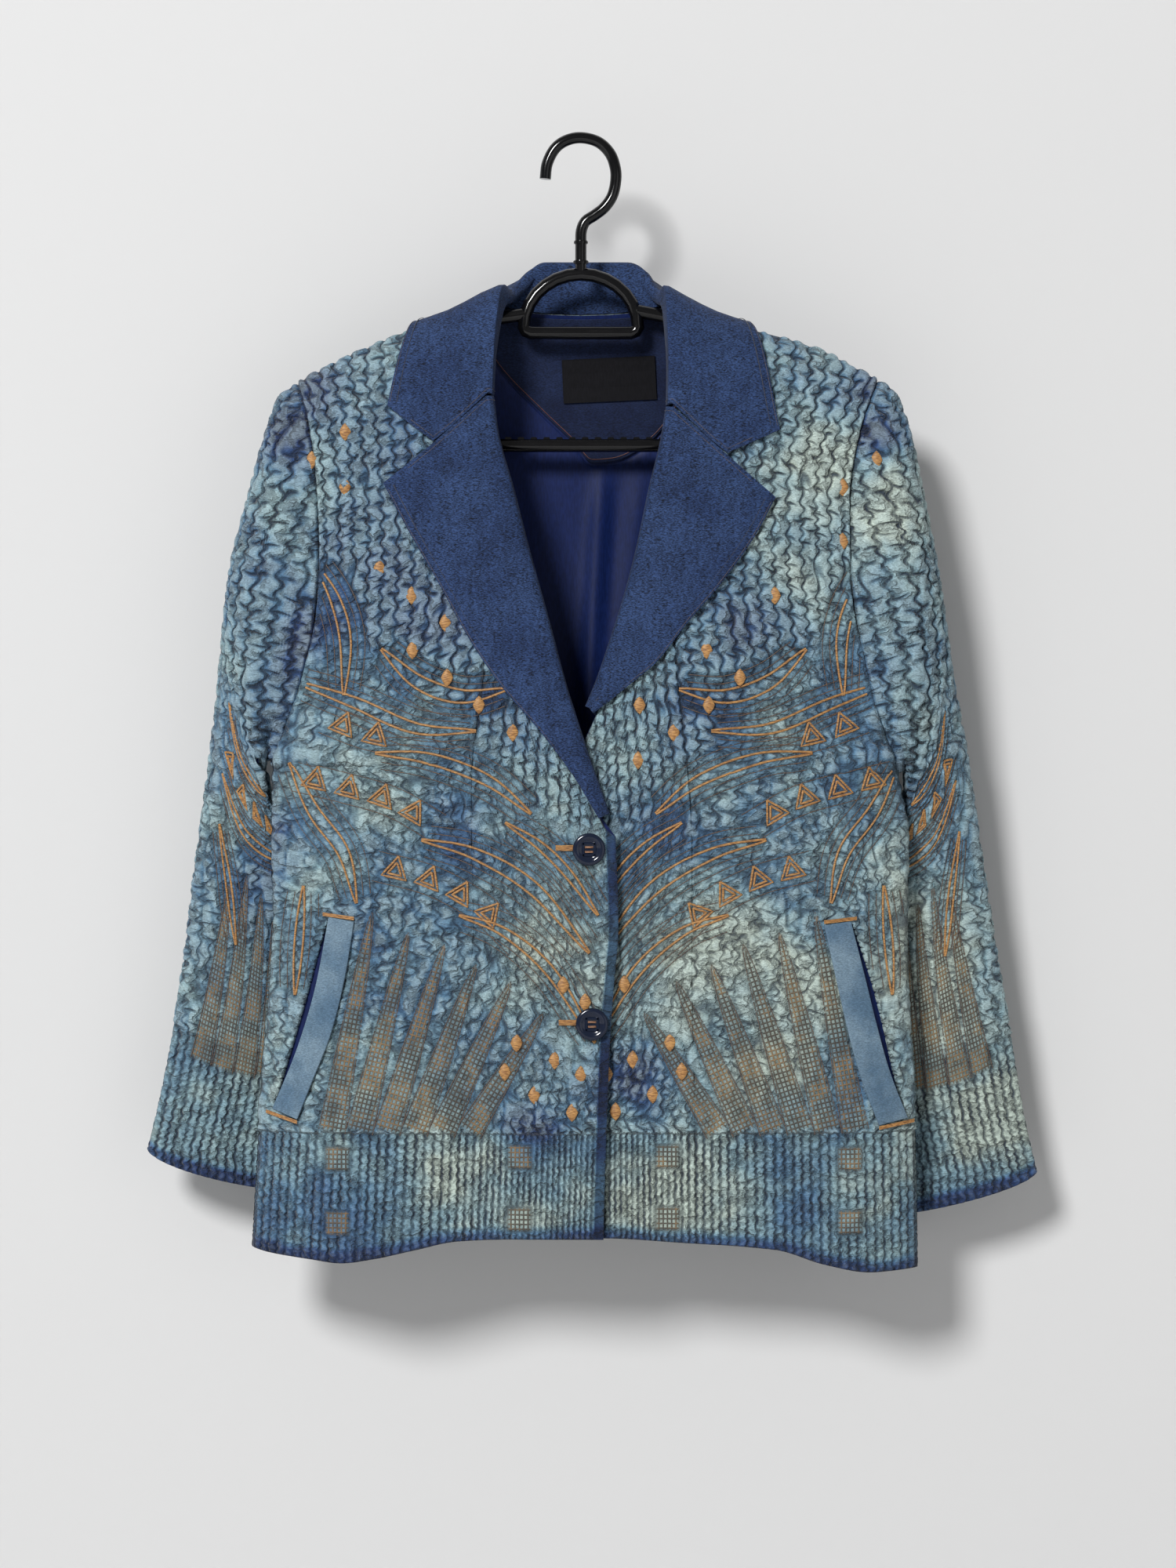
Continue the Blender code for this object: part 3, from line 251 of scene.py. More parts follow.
# Collar, from the middle of the back (0) to its front end (1): neck seam, crest of the fold, outer edge
COLLAR = {
    RIGHT: [
        (0.00, (0, 31, -117), (0, 37, -80), (0, 47, -140)),
        (0.20, (-26, 29, -116), (-25, 33, -80.5), (-44, 46, -140)),
        (0.35, (-46, 23, -114), (-35, 28, -86), (-82, 38, -136)),
        (0.45, (-59, 15, -111.5), (-42, 20, -95), (-104, 24, -129)),
        (0.55, (-69, 3, -109), (-48.5, 8, -104), (-113, 8, -125)),
        (0.62, (-69, -8, -112), (-52, -4.5, -108.5), (-118, -6, -133)),
        (0.70, (-67.5, -19, -126), (-56.5, -16, -127), (-122, -16, -146)),
        (0.85, (-64, -27.5, -153), (-60, -28, -155), (-129, -28, -168)),
        (1.00, (-62, -32.5, -178.5), (-61, -35, -180), (-134, -34, -188)),
    ],
    LEFT: [
        (0.00, (0, 31, -117), (0, 37, -80), (0, 47, -140)),
        (0.20, (26, 29, -116), (33, 33, -80.5), (50, 46, -141)),
        (0.35, (46, 23, -114), (45, 27, -87), (88, 38, -137)),
        (0.45, (59, 15, -111.5), (50, 19, -97), (106, 24, -129)),
        (0.55, (69, 3, -109), (54, 8, -105), (114, 8, -126)),
        (0.62, (69, -8, -112), (56.5, -5.5, -109.5), (119, -6, -135)),
        (0.70, (67.5, -19, -127), (59, -17, -131), (124, -16, -150)),
        (0.85, (64, -27.5, -156), (60.5, -28, -160), (132, -28, -178)),
        (1.00, (62, -32.5, -185.5), (60, -35, -187), (138, -34, -204)),
    ],
}
NOTCH = {RIGHT: (-101, -213), LEFT: (100, -221)}
COLLAR_ROLL = 3.6
LEAF_SHARES = (0, 0.19, 0.37, 0.56, 0.78, 1)

# Lapels, from the gorge seam (0) down to the end of the fold (1): crest of the fold and outer edge, (x, z)
LAPEL = {
    RIGHT: [
        (0.00, (-61, -181), (-136, -241)), (0.15, (-57.5, -207), (-118, -275)),
        (0.30, (-47, -245), (-98, -310)),
        (0.45, (-36, -288), (-77, -348)), (0.60, (-23, -335), (-54, -382)), (0.75, (-11, -380), (-28, -413)),
        (0.88, (3, -424), (-4, -445)), (1.00, (19, -470), (13, -473)),
    ],
    LEFT: [
        (0.00, (60, -188), (134, -251)), (0.15, (56, -212), (119, -279)), (0.30, (48, -245), (97, -310)),
        (0.45, (40, -283), (74, -338)), (0.60, (31, -318), (52, -366)), (0.75, (20, -353), (32, -382)),
        (0.88, (11, -379), (18, -393)), (1.00, (4, -396), (8, -400)),
    ],
}
LAPEL_ROLL = 4.6
LAPEL_FACING_WIDTH = 30

# Inside of the back: the lower edge of the neck facing over x, and how far the lining ends above the hem
NECK_FACING_HEM = [(-73, -131), (-56, -157), (-28, -186), (-5, -208), (8, -222), (22, -221), (50, -206),
                   (73, -176)]
LINING_HEM_UP = 22

# Pockets: the welt's long edges as (share down, x, z), and the slit beside it
WELT = {
    RIGHT: {"outer": [(0, -173.5, -541.5), (0.35, -182.5, -589.5), (0.66, -194.5, -631), (1, -212, -675)],
            "inner": [(0, -156, -544.5), (0.26, -161.7, -580), (0.56, -171.6, -621.5), (0.8, -184, -654),
                      (1, -195, -682)]},
    LEFT: {"outer": [(0, 186, -544.5), (0.29, 196, -584.5), (0.5, 203, -614), (0.74, 211.5, -646),
                     (1, 224.5, -681.5)],
           "inner": [(0, 167.5, -547), (0.31, 177, -589.5), (0.55, 184.5, -622.5), (0.77, 193, -653.5),
                     (1, 205, -686)]},
}
WELT_HALF = 1.0
SLIT_WIDTH = 6.0

BUTTONS = [(5.7, -494.5), (7.8, -615)]
BUTTON_RADIUS, BUTTON_THICK = 11.3, 3.6

# Hanger, as centre lines (x, z) in its own plane
HOOK_ROD = 4.0
HOOK = [(-25, -25), (-23.6, -14.3), (-18.4, -4), (-10.5, 1.9), (0, 4), (12, 1), (20.4, -7), (24.2, -17.6),
        (24.4, -27), (22, -37), (16.5, -45), (9.8, -50.3), (3.2, -54.8), (0.3, -61.6), (0, -71.5), (0, -90)]
FRAME_ROD = 4.6
HANDLE_HALF, HANDLE_TOP, HANDLE_FOOT = 40, -91.8, -133
BAR_HEIGHT = -212
ARM = {
    RIGHT: [(39, -120), (57, -122.5), (75, -126.5), (96, -132.5), (119, -139.5), (145, -150.5),
            (168, -161), (180, -168)],
    LEFT: [(39, -117.5), (57, -121), (75, -125.5), (96, -132), (119, -139.5), (145, -148),
           (168, -156), (183, -163)],
}
ARM_TIP = [(2, -174), (-2, -184), (-12, -196), (-28, -206), (-48, -211)]  # from the arm's end, z as it is

# %% [markdown]
# ## Curves and lines

# %%
def smooth(table, at):
    """A curve through a table of (place, value) that never overshoots it, and is level past its ends."""
    places, values = np.array(sorted(table), float).T
    steps = np.diff(places)
    slopes = np.diff(values) / steps
    tangents = np.zeros_like(values)
    tangents[0], tangents[-1] = slopes[0], slopes[-1]
    product = slopes[:-1] * slopes[1:]
    total = slopes[:-1] + slopes[1:]
    tangents[1:-1] = np.where(product > 0, 2 * product / np.where(total == 0, 1, total), 0)
    at = np.clip(at, places[0], places[-1])
    i = np.clip(np.searchsorted(places, at) - 1, 0, len(steps) - 1)
    t = (at - places[i]) / steps[i]
    return ((1 + 2 * t) * (1 - t) ** 2 * values[i] + t * (1 - t) ** 2 * steps[i] * tangents[i]
            + t * t * (3 - 2 * t) * values[i + 1] + t * t * (t - 1) * steps[i] * tangents[i + 1])


def ease(t):
    t = np.clip(t, 0, 1)
    return t * t * (3 - 2 * t)


def unit(v):
    return v / np.maximum(np.linalg.norm(v, axis=-1, keepdims=True), 1e-9)


def run_of(line):
    """How far each point of a line is from its start, along the line."""
    return np.concatenate([[0], np.cumsum(np.linalg.norm(np.diff(line, axis=0), axis=1))])


def points_at(line, at, run):
    """The points of a line at these distances, where run is how far each of its points is along it."""
    return np.stack([np.interp(at, run, line[:, k]) for k in range(line.shape[1])], -1)


# %% [markdown]
# ## The body's surface
#
# The front and the back are two heights over x and z. A panel is laid out by the share of the way across it
# and down it, with its columns evenly spaced along the cloth and not along x.

# %%
def by_side(tables, x, at):
    """Reads the right side's table where x is negative, and the left side's elsewhere."""
    return np.where(x < 0, smooth(tables[RIGHT], at), smooth(tables[LEFT], at))


def underarm(side):
    """The height of the bottom of a side's armhole."""
    top = SHOULDER[side][-1][1]
    hem = smooth(HEM, side * HALF_WIDTH[side][-1][1])
    return float(top + ARMHOLE_SHARE * (hem - top))


def underarm_at(x):
    return np.where(x < 0, underarm(RIGHT), underarm(LEFT))


def half_width(x, z):
    return by_side(HALF_WIDTH, x, z)


def shoulder_height(x):
    return by_side(SHOULDER, x, np.abs(x))


def edge_depth(face, x, z):
    """How deep the cloth lies at its side edge: apart at the armhole, together down the side seam."""
    above = np.clip((z - underarm_at(x)) / ARMHOLE_RISE, 0, 1)
    return smooth(SIDE_DEPTH, z) + face * (ARMHOLE_GAPE * np.sqrt(1 - (1 - above) ** 2))


def folds(face, x, z):
    """The soft folds in which the skirt of the jacket hangs."""
    low = ease((-560 - z) / 220)
    if face == FRONT:
        crests = ((-164, 34, 7), (-70, 30, -3), (95, 34, -4), (192, 30, 8))
    else:
        crests = ((-120, 36, 5), (-30, 30, -4), (60, 34, 5), (150, 30, -3))
    return face * low * sum(high * np.exp(-((x - at) / wide) ** 2) for at, wide, high in crests)


def body_depth(face, x, z):
    """The y of the middle of the cloth, on the front or the back of the body."""
    share = np.clip(np.abs(x) / half_width(x, z), 0, 1)
    edge = edge_depth(face, x, z)
    power = 0.5 + 0.5 * ease((z - underarm_at(x)) / 60)
    fullness = (1 - share ** SIDE_ROUND) ** power
    full = edge + (smooth(MIDDLE_DEPTH[face], z) - edge) * fullness
    down = np.clip((shoulder_height(x) - z) / SHOULDER_ROUND[face], 0, 1)
    return full * np.sqrt(1 - (1 - down) ** 2) + folds(face, x, z) * fullness + face * SEAM_HALF


def clear_of_body(points, off):
    """Moves points out of the body, so that they lie at least this far over the middle of its cloth."""
    x, y, z = points.T
    round_ = np.where(y < 0, SHOULDER_ROUND[FRONT], SHOULDER_ROUND[BACK])
    middle = shoulder_height(x) - round_
    low = np.minimum(z, middle)
    deep = np.where(y < 0, body_depth(FRONT, x, low), body_depth(BACK, x, low))
    off = off - 1.1 * np.exp(-((y / 9) ** 2))
    reach = np.abs(deep) + off
    up = np.maximum(z - middle, 0) / (round_ + off)
    out = np.sqrt((y / reach) ** 2 + up ** 2)
    grow = np.where(out < 1, 1 / np.maximum(out, 1e-6), 1)
    return np.stack([x, np.where(out < 1, y * grow, y), np.where(up > 0, middle + (z - middle) * grow, z)], 1)


def even_share():
    """The share of the half width at which a share of the cloth's own width lies, in a usual section."""
    share = np.linspace(0, 1, 400)
    depth = 0.17 * (1 - share ** SIDE_ROUND) ** 0.5
    run = np.concatenate([[0], np.cumsum(np.hypot(np.diff(share), np.diff(depth)))])
    return run / run[-1], share


CLOTH_SHARE, WIDTH_SHARE = even_share()


def across(side, c, z):
    """x at the share c of the way from the centre front edge to the side, at this height."""
    edge = smooth(FRONT_EDGE[side], z)
    return edge + (side * half_width(side, z) - edge) * np.interp(c, CLOTH_SHARE, WIDTH_SHARE)


def across_back(c, z):
    t = np.interp(np.abs(2 * c - 1), CLOTH_SHARE, WIDTH_SHARE)
    side = np.where(c < 0.5, RIGHT, LEFT)
    return side * half_width(side, z) * t


def top_of(x_at, limit, c):
    """The height at which column c of a panel meets the panel's top outline."""
    low, high = np.full_like(c, -700.0), np.full_like(c, -100.0)
    for _ in range(30):
        middle = (low + high) / 2
        inside = middle < limit(x_at(c, middle))
        low, high = np.where(inside, middle, low), np.where(inside, high, middle)
    return low


def front_top(side):
    """The top of a front: the neckline up to the neck point, and the shoulder from there."""
    return lambda x: np.where(side * x > NECK_POINT, shoulder_height(x), smooth(NECKLINE[side], x))


def back_top(x):
    return np.where(np.abs(x) > NECK_POINT, shoulder_height(x), smooth(BACK_NECK, x))


def lap(side, x, z):
    """How far a front moves forward or back where one laps over the other."""
    across_ = ease((LAP_FADE + 30 - side * x) / LAP_FADE)
    return LAP[side] * across_ * ease((shoulder_height(x) - z) / 50)


def shell(face, side, x, z, off=0.0):
    """Points off the middle of the body's cloth, outwards where off is positive. Side picks the front."""
    step = 0.5

    def middle(x, z):
        y = body_depth(face, x, z)
        return np.stack([x, y + lap(side, x, z) if face == FRONT else y, z], -1)

    flat = middle(x, z)
    slope_x = middle(x + step, z) - middle(x - step, z)
    slope_z = middle(x, z + step) - middle(x, z - step)
    out = unit(np.cross(slope_x, slope_z)) * -face
    # On the shoulder seam the cloth lies level from front to back
    top = np.stack([shoulder_height(x - step) - shoulder_height(x + step), 0 * x, 0 * x + 2 * step], -1)
    out = np.where((np.abs(flat[..., 1]) < 1)[..., None], unit(top), out)
    # Down the side seam front and back meet edge to edge
    seam = (np.abs(x) > half_width(x, z) - 0.5) & (z < underarm_at(x) + 2)
    out = np.where(seam[..., None], np.stack([np.sign(x), 0 * x, 0 * x], -1), out)
    return flat + out * np.asarray(off)[..., None]


def front_place(side, c, v):
    """x and z on a front: c runs from the centre front to the side, v from the top to the hem."""
    z_top = top_of(lambda c, z: across(side, c, z), front_top(side), c)
    z_hem = smooth(HEM, across(side, c, -770.0))
    z = z_top + v * (z_hem - z_top)
    return across(side, c, z), z


def back_place(c, v):
    """x and z on the back: c runs from the right side to the left one."""
    z_top = top_of(across_back, back_top, c)
    z_hem = smooth(HEM, across_back(c, -770.0)) + 2
    z = z_top + v * (z_hem - z_top)
    return across_back(c, z), z


# %% [markdown]
# ## Sleeves
#
# A sleeve is a tube of flattened rings, whose top is drawn onto the armhole's edge.

# %%
def armhole(side, share):
    """The armhole's edge on both panels, and the way out of the cloth there. Share runs down the front."""
    z_low, z_high = underarm(side), float(SHOULDER[side][-1][1])
    half = np.abs(share)
    rows = np.array([r for r in BODY_ROWS if r <= ARMHOLE_SHARE + 1e-6]) / ARMHOLE_SHARE
    z_rows = z_high + rows * (z_low - z_high)
    edges = {}
    for face in (FRONT, BACK):
        x = side * half_width(np.full_like(z_rows, side), z_rows)
        edge = np.stack([x, body_depth(face, x, z_rows), z_rows], 1)
        run = run_of(edge)
        edges[face] = points_at(edge, half, run / run[-1])
    return np.where((share < 0)[:, None], edges[BACK], edges[FRONT])


def sleeve_middle(side, share, v):
    """The middle of the sleeve's cloth. Share runs round it from 0, at its outer edge, to 1 or -1 within."""
    rows = np.array(SLEEVE[side]).T
    xo, zo, xi, zi, yo, yi, yf, yb, sag = (smooth(list(zip(rows[0], row)), v) for row in rows[1:])
    turn = np.linspace(0, math.pi, 81)
    outer = (1 + np.cos(turn)) / 2
    rings = []
    for deep in (yf, yb):
        line = yo * outer + yi * (1 - outer)
        ring = np.stack([xo * outer + xi * (1 - outer), line + (deep - line) * np.sin(turn) ** 0.85,
                         zo * outer + zi * (1 - outer) - sag * np.sin(turn)], 1)
        run = run_of(ring)
        rings.append(points_at(ring, np.abs(share), run / run[-1]))
    return np.where((share < 0)[:, None], rings[1], rings[0])


def sleeve_point(side, share, v):
    """The sleeve, drawn to the armhole's edge at its top."""
    hold = 1 - ease(v / 0.22)
    points = sleeve_middle(side, share, v)
    if hold > 0:
        seam = armhole(side, share)
        turn = np.abs(share) * math.pi
        away = np.stack([side * (np.sin(turn) + 0.9 * np.maximum(np.cos(turn), 0)), 0 * turn,
                         np.maximum(-np.cos(turn), 0) - 0.4 * np.maximum(np.cos(turn), 0)], 1)
        points = points + hold * (seam + SLEEVE_SEAM_GAP * unit(away) - sleeve_middle(side, share, 0.0))
    return points


# %% [markdown]
# ## Folded denim: collar and lapels
#
# Both are strips folded over a crest, from the seam inside, round the fold and down the leaf to its edge.

# %%
def normals_of(grid):
    """The way out of a grid of points, from the grid's own slopes."""
    return unit(np.cross(np.gradient(grid, axis=1), np.gradient(grid, axis=0)))


def sheet(bm, grid):
    """A grid primitive whose vertices are moved to a grid of points, rows by columns."""
    rows, columns = grid.shape[:2]
    made = bmesh.ops.create_grid(bm, x_segments=columns - 1, y_segments=rows - 1, size=0.5)["verts"]
    for vert in made:
        column = round((vert.co.x + 0.5) * (columns - 1))
        row = round((0.5 - vert.co.y) * (rows - 1))
        vert.co = grid[row, column]


def fold_strip(neck, crest, edge, roll, out_hint, end, bulge):
    """Folded cloth along a crest: up from the neck seam, round the fold and down to the outer edge.

    Each is a row of points along the strip. The last section's leaf runs through the points of end."""
    along = unit(np.gradient(crest, axis=0))
    out = unit(out_hint - along * np.sum(out_hint * along, 1, keepdims=True))
    tip = np.cross(along, out)
    tip = tip * np.sign(np.sum(tip * (crest - (neck + edge) / 2), 1, keepdims=True))
    centre = crest - tip * roll
    sections = [neck + (centre - out * roll - neck) * t for t in (0, 0.5, 1)]
    for turn in np.linspace(0, math.pi, 5)[1:-1]:
        sections.append(centre - out * roll * math.cos(turn) + tip * roll * math.sin(turn))
    start = centre + out * roll
    for t in LEAF_SHARES:
        row = start + (edge - start) * t + out * bulge * 4 * t * (1 - t)
        path = np.array([start[-1], end, edge[-1]])
        run = run_of(path)
        share = np.linspace(0, 1, len(row))[:, None] ** 4
        row = row + share * (points_at(path, t * run[-1], run) - row[-1])
        sections.append(row)
    return np.stack(sections, 1)


def table_points(table, key, at):
    """Smooth points along a table of rows that start with a share and hold points."""
    rows = [(row[0], row[key]) for row in table]
    sizes = range(len(rows[0][1]))
    return np.stack([smooth([(share, point[k]) for share, point in rows], at) for k in sizes], -1)


def collar_grid(stations):
    """The collar's stand, fold and leaf, from its right front end round the back to its left one."""
    at = np.linspace(0, 1, stations)
    halves = []
    for side in (RIGHT, LEFT):
        neck, crest, edge = (table_points(COLLAR[side], key, at) for key in (1, 2, 3))
        front = ease((at - 0.4) / 0.35)[:, None]
        over = ease((at - 0.2) / 0.35)[:, None] * (1 - front)
        hint = unit((1 - front) * np.array([0, 1.0, 0]) + over * np.array([1.2 * side, 0, 0.9])
                    + front * np.array([0, -1.0, 0]))
        notch = NOTCH[side]
        end = np.array([notch[0], body_depth(FRONT, *notch) - CLEAR_OF_RIBS - LAPEL_HALF, notch[1]])
        bulge = 3 + 7 * np.exp(-(((at - 0.38) / 0.15) ** 2))[:, None]
        grid = fold_strip(neck, crest, edge, COLLAR_ROLL, hint, end, bulge)
        leaf = grid[:, 5:]
        spread = clear_of_body(leaf.reshape(-1, 3), CLEAR_OF_RIBS + LAPEL_HALF + 1.0)
        grid[:, 5:] = spread.reshape(leaf.shape)
        halves.append(grid)
    return np.concatenate([halves[0][::-1], halves[1][1:]])


def lapel_grid(side, stations):
    """A lapel: the facing inside the front, the fold, and the leaf lying on the front."""
    at = np.linspace(0, 1, stations)
    crest = table_points(LAPEL[side], 1, at)
    edge = table_points(LAPEL[side], 2, at)
    wide = np.linalg.norm(edge - crest, axis=1, keepdims=True)
    toward = (edge - crest) / wide
    roll = np.minimum(LAPEL_ROLL, wide * 0.45)
    inside = crest + toward * np.minimum(LAPEL_FACING_WIDTH, wide + 8)

    leaf_off = CLEAR_OF_RIBS + LAPEL_HALF + 0.4
    crest_off = leaf_off + LAPEL_INSIDE
    crest3 = shell(FRONT, side, *crest.T, np.full(stations, crest_off / 2))
    edge3 = shell(FRONT, side, *edge.T, np.full(stations, leaf_off))
    neck3 = shell(FRONT, side, *inside.T, np.full(stations, LAPEL_INSIDE))
    notch = np.array(NOTCH[side], float)
    end = shell(FRONT, side, notch[0], notch[1] - SEAM_GAP, leaf_off)
    hint = np.tile([0, -1.0, 0], (stations, 1))
    flip = slice(None, None, -1)
    return fold_strip(neck3[flip], crest3[flip], edge3[flip], roll[flip], hint, end, 1.8)[flip]


# %% [markdown]
# ## Welts and the hanger's lines

# %%
def welt_edge(side, edge, t):
    """A long edge of a welt, from its top to its foot, as x and z."""
    rows = WELT[side][edge]
    return smooth([(s, x) for s, x, _ in rows], t), smooth([(s, z) for s, _, z in rows], t)


def through(points, count):
    """A smooth open line through points, evenly spaced."""
    points = np.array(points, float)
    ends = np.concatenate([[2 * points[0] - points[1]], points, [2 * points[-1] - points[-2]]])
    fine = []
    for i in range(len(points) - 1):
        p0, p1, p2, p3 = ends[i:i + 4]
        for t in np.linspace(0, 1, 12, endpoint=False):
            fine.append(0.5 * (2 * p1 + (p2 - p0) * t + (2 * p0 - 5 * p1 + 4 * p2 - p3) * t * t
                               + (3 * p1 - p0 - 3 * p2 + p3) * t ** 3))
    fine = np.array(fine + [points[-1]])
    run = run_of(fine)
    return points_at(fine, np.linspace(0, run[-1], count), run)


def handle_line():
    """The arched handle under the hook: half an oval over a flat foot with rounded corners."""
    turn = np.linspace(0, math.pi, 15)
    tall = HANDLE_TOP - HANDLE_FOOT - 4
    arch = [(HANDLE_HALF * math.cos(a), HANDLE_FOOT + 4 + tall * math.sin(a)) for a in turn]
    return arch + [(-HANDLE_HALF + 1.5, HANDLE_FOOT + 1.2), (-HANDLE_HALF + 5, HANDLE_FOOT),
                   (HANDLE_HALF - 5, HANDLE_FOOT), (HANDLE_HALF - 1.5, HANDLE_FOOT + 1.2)]


def frame_line():
    """The arms, their rounded tips and the trouser bar, as one line round from one arm to the other."""
    line = []
    for side in (RIGHT, LEFT):
        arm = [(side * x, z) for x, z in ARM[side]]
        tip_x, _ = ARM[side][-1]
        half = arm + [(side * (tip_x + dx), z) for dx, z in ARM_TIP] + [(side * HANDLE_HALF, BAR_HEIGHT)]
        line.append(through(half, 21))
    return np.concatenate([line[0], line[1][::-1]])


# %% [markdown]
# ## Noise
#
# Smooth noise without any random state, so that each run gives the same cloth.

# %%
def hashed(*keys):
    """A number from 0 to 1 that looks random, for whole numbers."""
    total = sum(np.asarray(key, float) * weight for key, weight in zip(keys, (127.1, 311.7, 74.7)))
    return np.modf(np.abs(np.sin(total + 0.37) * 43758.5453))[0]


def drift(at, channel, seed=0):
    """Smooth noise along a channel, from 0 to 1."""
    low = np.floor(at)
    t = ease(at - low)
    return hashed(low, channel, seed) * (1 - t) + hashed(low + 1, channel, seed) * t


def cloud(x, z, size, seed=0):
    """Smooth noise over the cloth, from 0 to 1, with lumps of about this size."""
    x, z = x / size, z / size
    xi, zi = np.floor(x), np.floor(z)
    tx, tz = ease(x - xi), ease(z - zi)
    low = hashed(xi, zi, seed) * (1 - tx) + hashed(xi + 1, zi, seed) * tx
    high = hashed(xi, zi + 1, seed) * (1 - tx) + hashed(xi + 1, zi + 1, seed) * tx
    return low * (1 - tz) + high * tz


# %% [markdown]
# ## Shirring
#
# Lines of gathering stitches run down the cloth. Each line wavers, because the cloth beside it is drawn up
# into short folds that reach in from its lines by turns. `line` counts the gathered lines across, and
# `pucker` counts the short folds down each channel between two lines.

# %%
def shirring(u, t, pitch, length, waver, folded=1.0):
    """The relief (0 to 1) of shirred cloth, where u counts lines and t is the way down in millimetres."""
    def phase(channel):
        return t / length + 1.7 * drift(t / (3.1 * length), channel, 3) + 7 * hashed(channel, 5)

    def push(line):
        turn = phase(line)
        uneven = drift(t / (1.15 * length), line, 9) - 0.5
        return waver * (0.15 * np.sin(2 * math.pi * turn) + 0.17 * uneven)

    near = np.round(u)
    channel = near - (u < near + push(near))
    left, right = channel + push(channel), channel + 1 + push(channel + 1)
    f = np.clip((u - left) / (right - left), 0, 1)
    line = channel + f
    slant = (hashed(channel, np.round(phase(channel)), 8) - 0.5) * 1.1
    bend = 0.09 * np.sin(2 * math.pi * f) + 0.1 * (drift(t / 5, channel, 4) - 0.5)
    pucker = phase(channel) + slant * (f - 0.5) + bend
    crease = np.round(pucker)
    reach = np.where(np.mod(crease, 2) < 1, ease((0.82 - f) / 0.4), ease((f - 0.18) / 0.4))
    reach = reach * (0.6 + 0.4 * hashed(channel, crease, 6)) * folded
    away = np.abs(pucker - crease) * length
    across_ = (1 - np.abs(2 * f - 1) ** 2.3) ** 0.75
    height = across_ * (1 - 0.85 * np.exp(-((away / (0.24 * length)) ** 2)) * reach)
    return {"line": line, "pucker": pucker, "reach": reach, "pitch": pitch, "length": length,
            "height": height}


# %% [markdown]
# ## Embroidery
#
# The ornament is a plain one of leaves, chains of triangles, hatched fans and small lozenges. It is drawn
# once over m, the way from the middle of the closed fronts, and z, and lies on both fronts. On the sleeves
# it is drawn over the way round from the outer edge and the way down.

# %%
EDGE_MARGIN = 6.6  # the plain strip down the front edge
LEAVES = [  # the middle line of each, and half its width
    ([(192, -296), (178, -322), (171, -350), (172, -388)], 4.0),
    ([(146, -356), (120, -379), (90, -389), (58, -384)], 5.0),
    ([(207, -378), (165, -393), (122, -411), (80, -413)], 4.0),
    ([(150, -428), (112, -432), (72, -447), (42, -470)], 4.0),
    ([(210, -434), (193, -468), (172, -497), (163, -532)], 4.5),
    ([(118, -488), (80, -498), (40, -522), (2, -566)], 4.5),
    ([(200, -520), (203, -556), (206, -596)], 3.0),
    ([(92, -540), (60, -552), (28, -580), (-2, -628)], 3.5),
    ([(60, -476), (36, -492), (16, -512), (-4, -540)], 3.0),
]
BANDS = [  # the middle line of each chain of triangles
    [(206, -444), (172, -452), (138, -462), (106, -480)],
    [(150, -506), (112, -516), (78, -534), (50, -560)],
    [(186, -404), (160, -414), (134, -420)],
]
BAND_HALF, TRIANGLE_STEP, TRIANGLE_SIZE = 10.5, 24.0, 8.8
ECHOES = (4.6, 9.8)  # fine stitching runs round each leaf at these distances
FAN_TAPER = 0.55
FANS = [  # the base and tip of each hatched ray, and half its width
    ((180, -690), (152, -538), 9.3), ((161, -690), (127, -552), 9.3), ((142, -690), (102, -560), 9.3),
    ((123, -690), (80, -574), 9.3), ((104, -690), (56, -586), 9.3), ((85, -690), (34, -608), 9.0),
]
SQUARES = [(176, -709), (176, -753), (50, -707), (50, -750)]
SQUARE_HALF = 8.5
LOW_DOTS = [(20, -588), (5, -600), (52, -628), (26, -640), (8, -650), (40, -664), (14, -676), (60, -648)]
DOT_HALF = (4.3, 6.5)
# Over m, the height below which the cloth is quilted by its stitches in place of the shirring
ZONE_TOP = [(-20, -478), (30, -466), (70, -424), (110, -380), (150, -350), (180, -300), (214, -292)]
FINE_RIBS_BELOW = -691

# Around a sleeve from its outer edge, and down it
SLEEVE_LEAVES = [
    ([(35, 212), (60, 230), (90, 224), (120, 202)], 3.5),
    ([(28, 262), (62, 284), (100, 280), (128, 262)], 4.0),
    ([(28, 296), (44, 330), (56, 372)], 3.5), ([(120, 290), (116, 330), (108, 372)], 3.5),
]
SLEEVE_BANDS = [[(28, 240), (70, 258), (124, 244)]]
SLEEVE_FANS = [((32, 462), (46, 330), 9.5), ((52, 464), (66, 316), 9.5), ((72, 464), (84, 322), 9.5),
               ((92, 462), (98, 336), 9.5), ((112, 456), (112, 360), 9.0)]


def centre_of(side):
    """x where m is 0 on a front."""
    return 8.0 if side == RIGHT else 10.0


def smooth_line(points, step=2.2):
    return through(points, max(4, int(run_of(np.array(points, float))[-1] / step)))


def beside(line, off):
    along = unit(np.gradient(line, axis=0))
    off = np.broadcast_to(off, len(line))[:, None]
    return line + np.stack([-along[:, 1], along[:, 0]], 1) * off


def leaf_shape(points, half):
    """A leaf's middle line, and how far its edges swell away from it and come back."""
    line = smooth_line(points)
    return line, half * np.sin(math.pi * np.linspace(0.02, 0.98, len(line))) ** 0.8


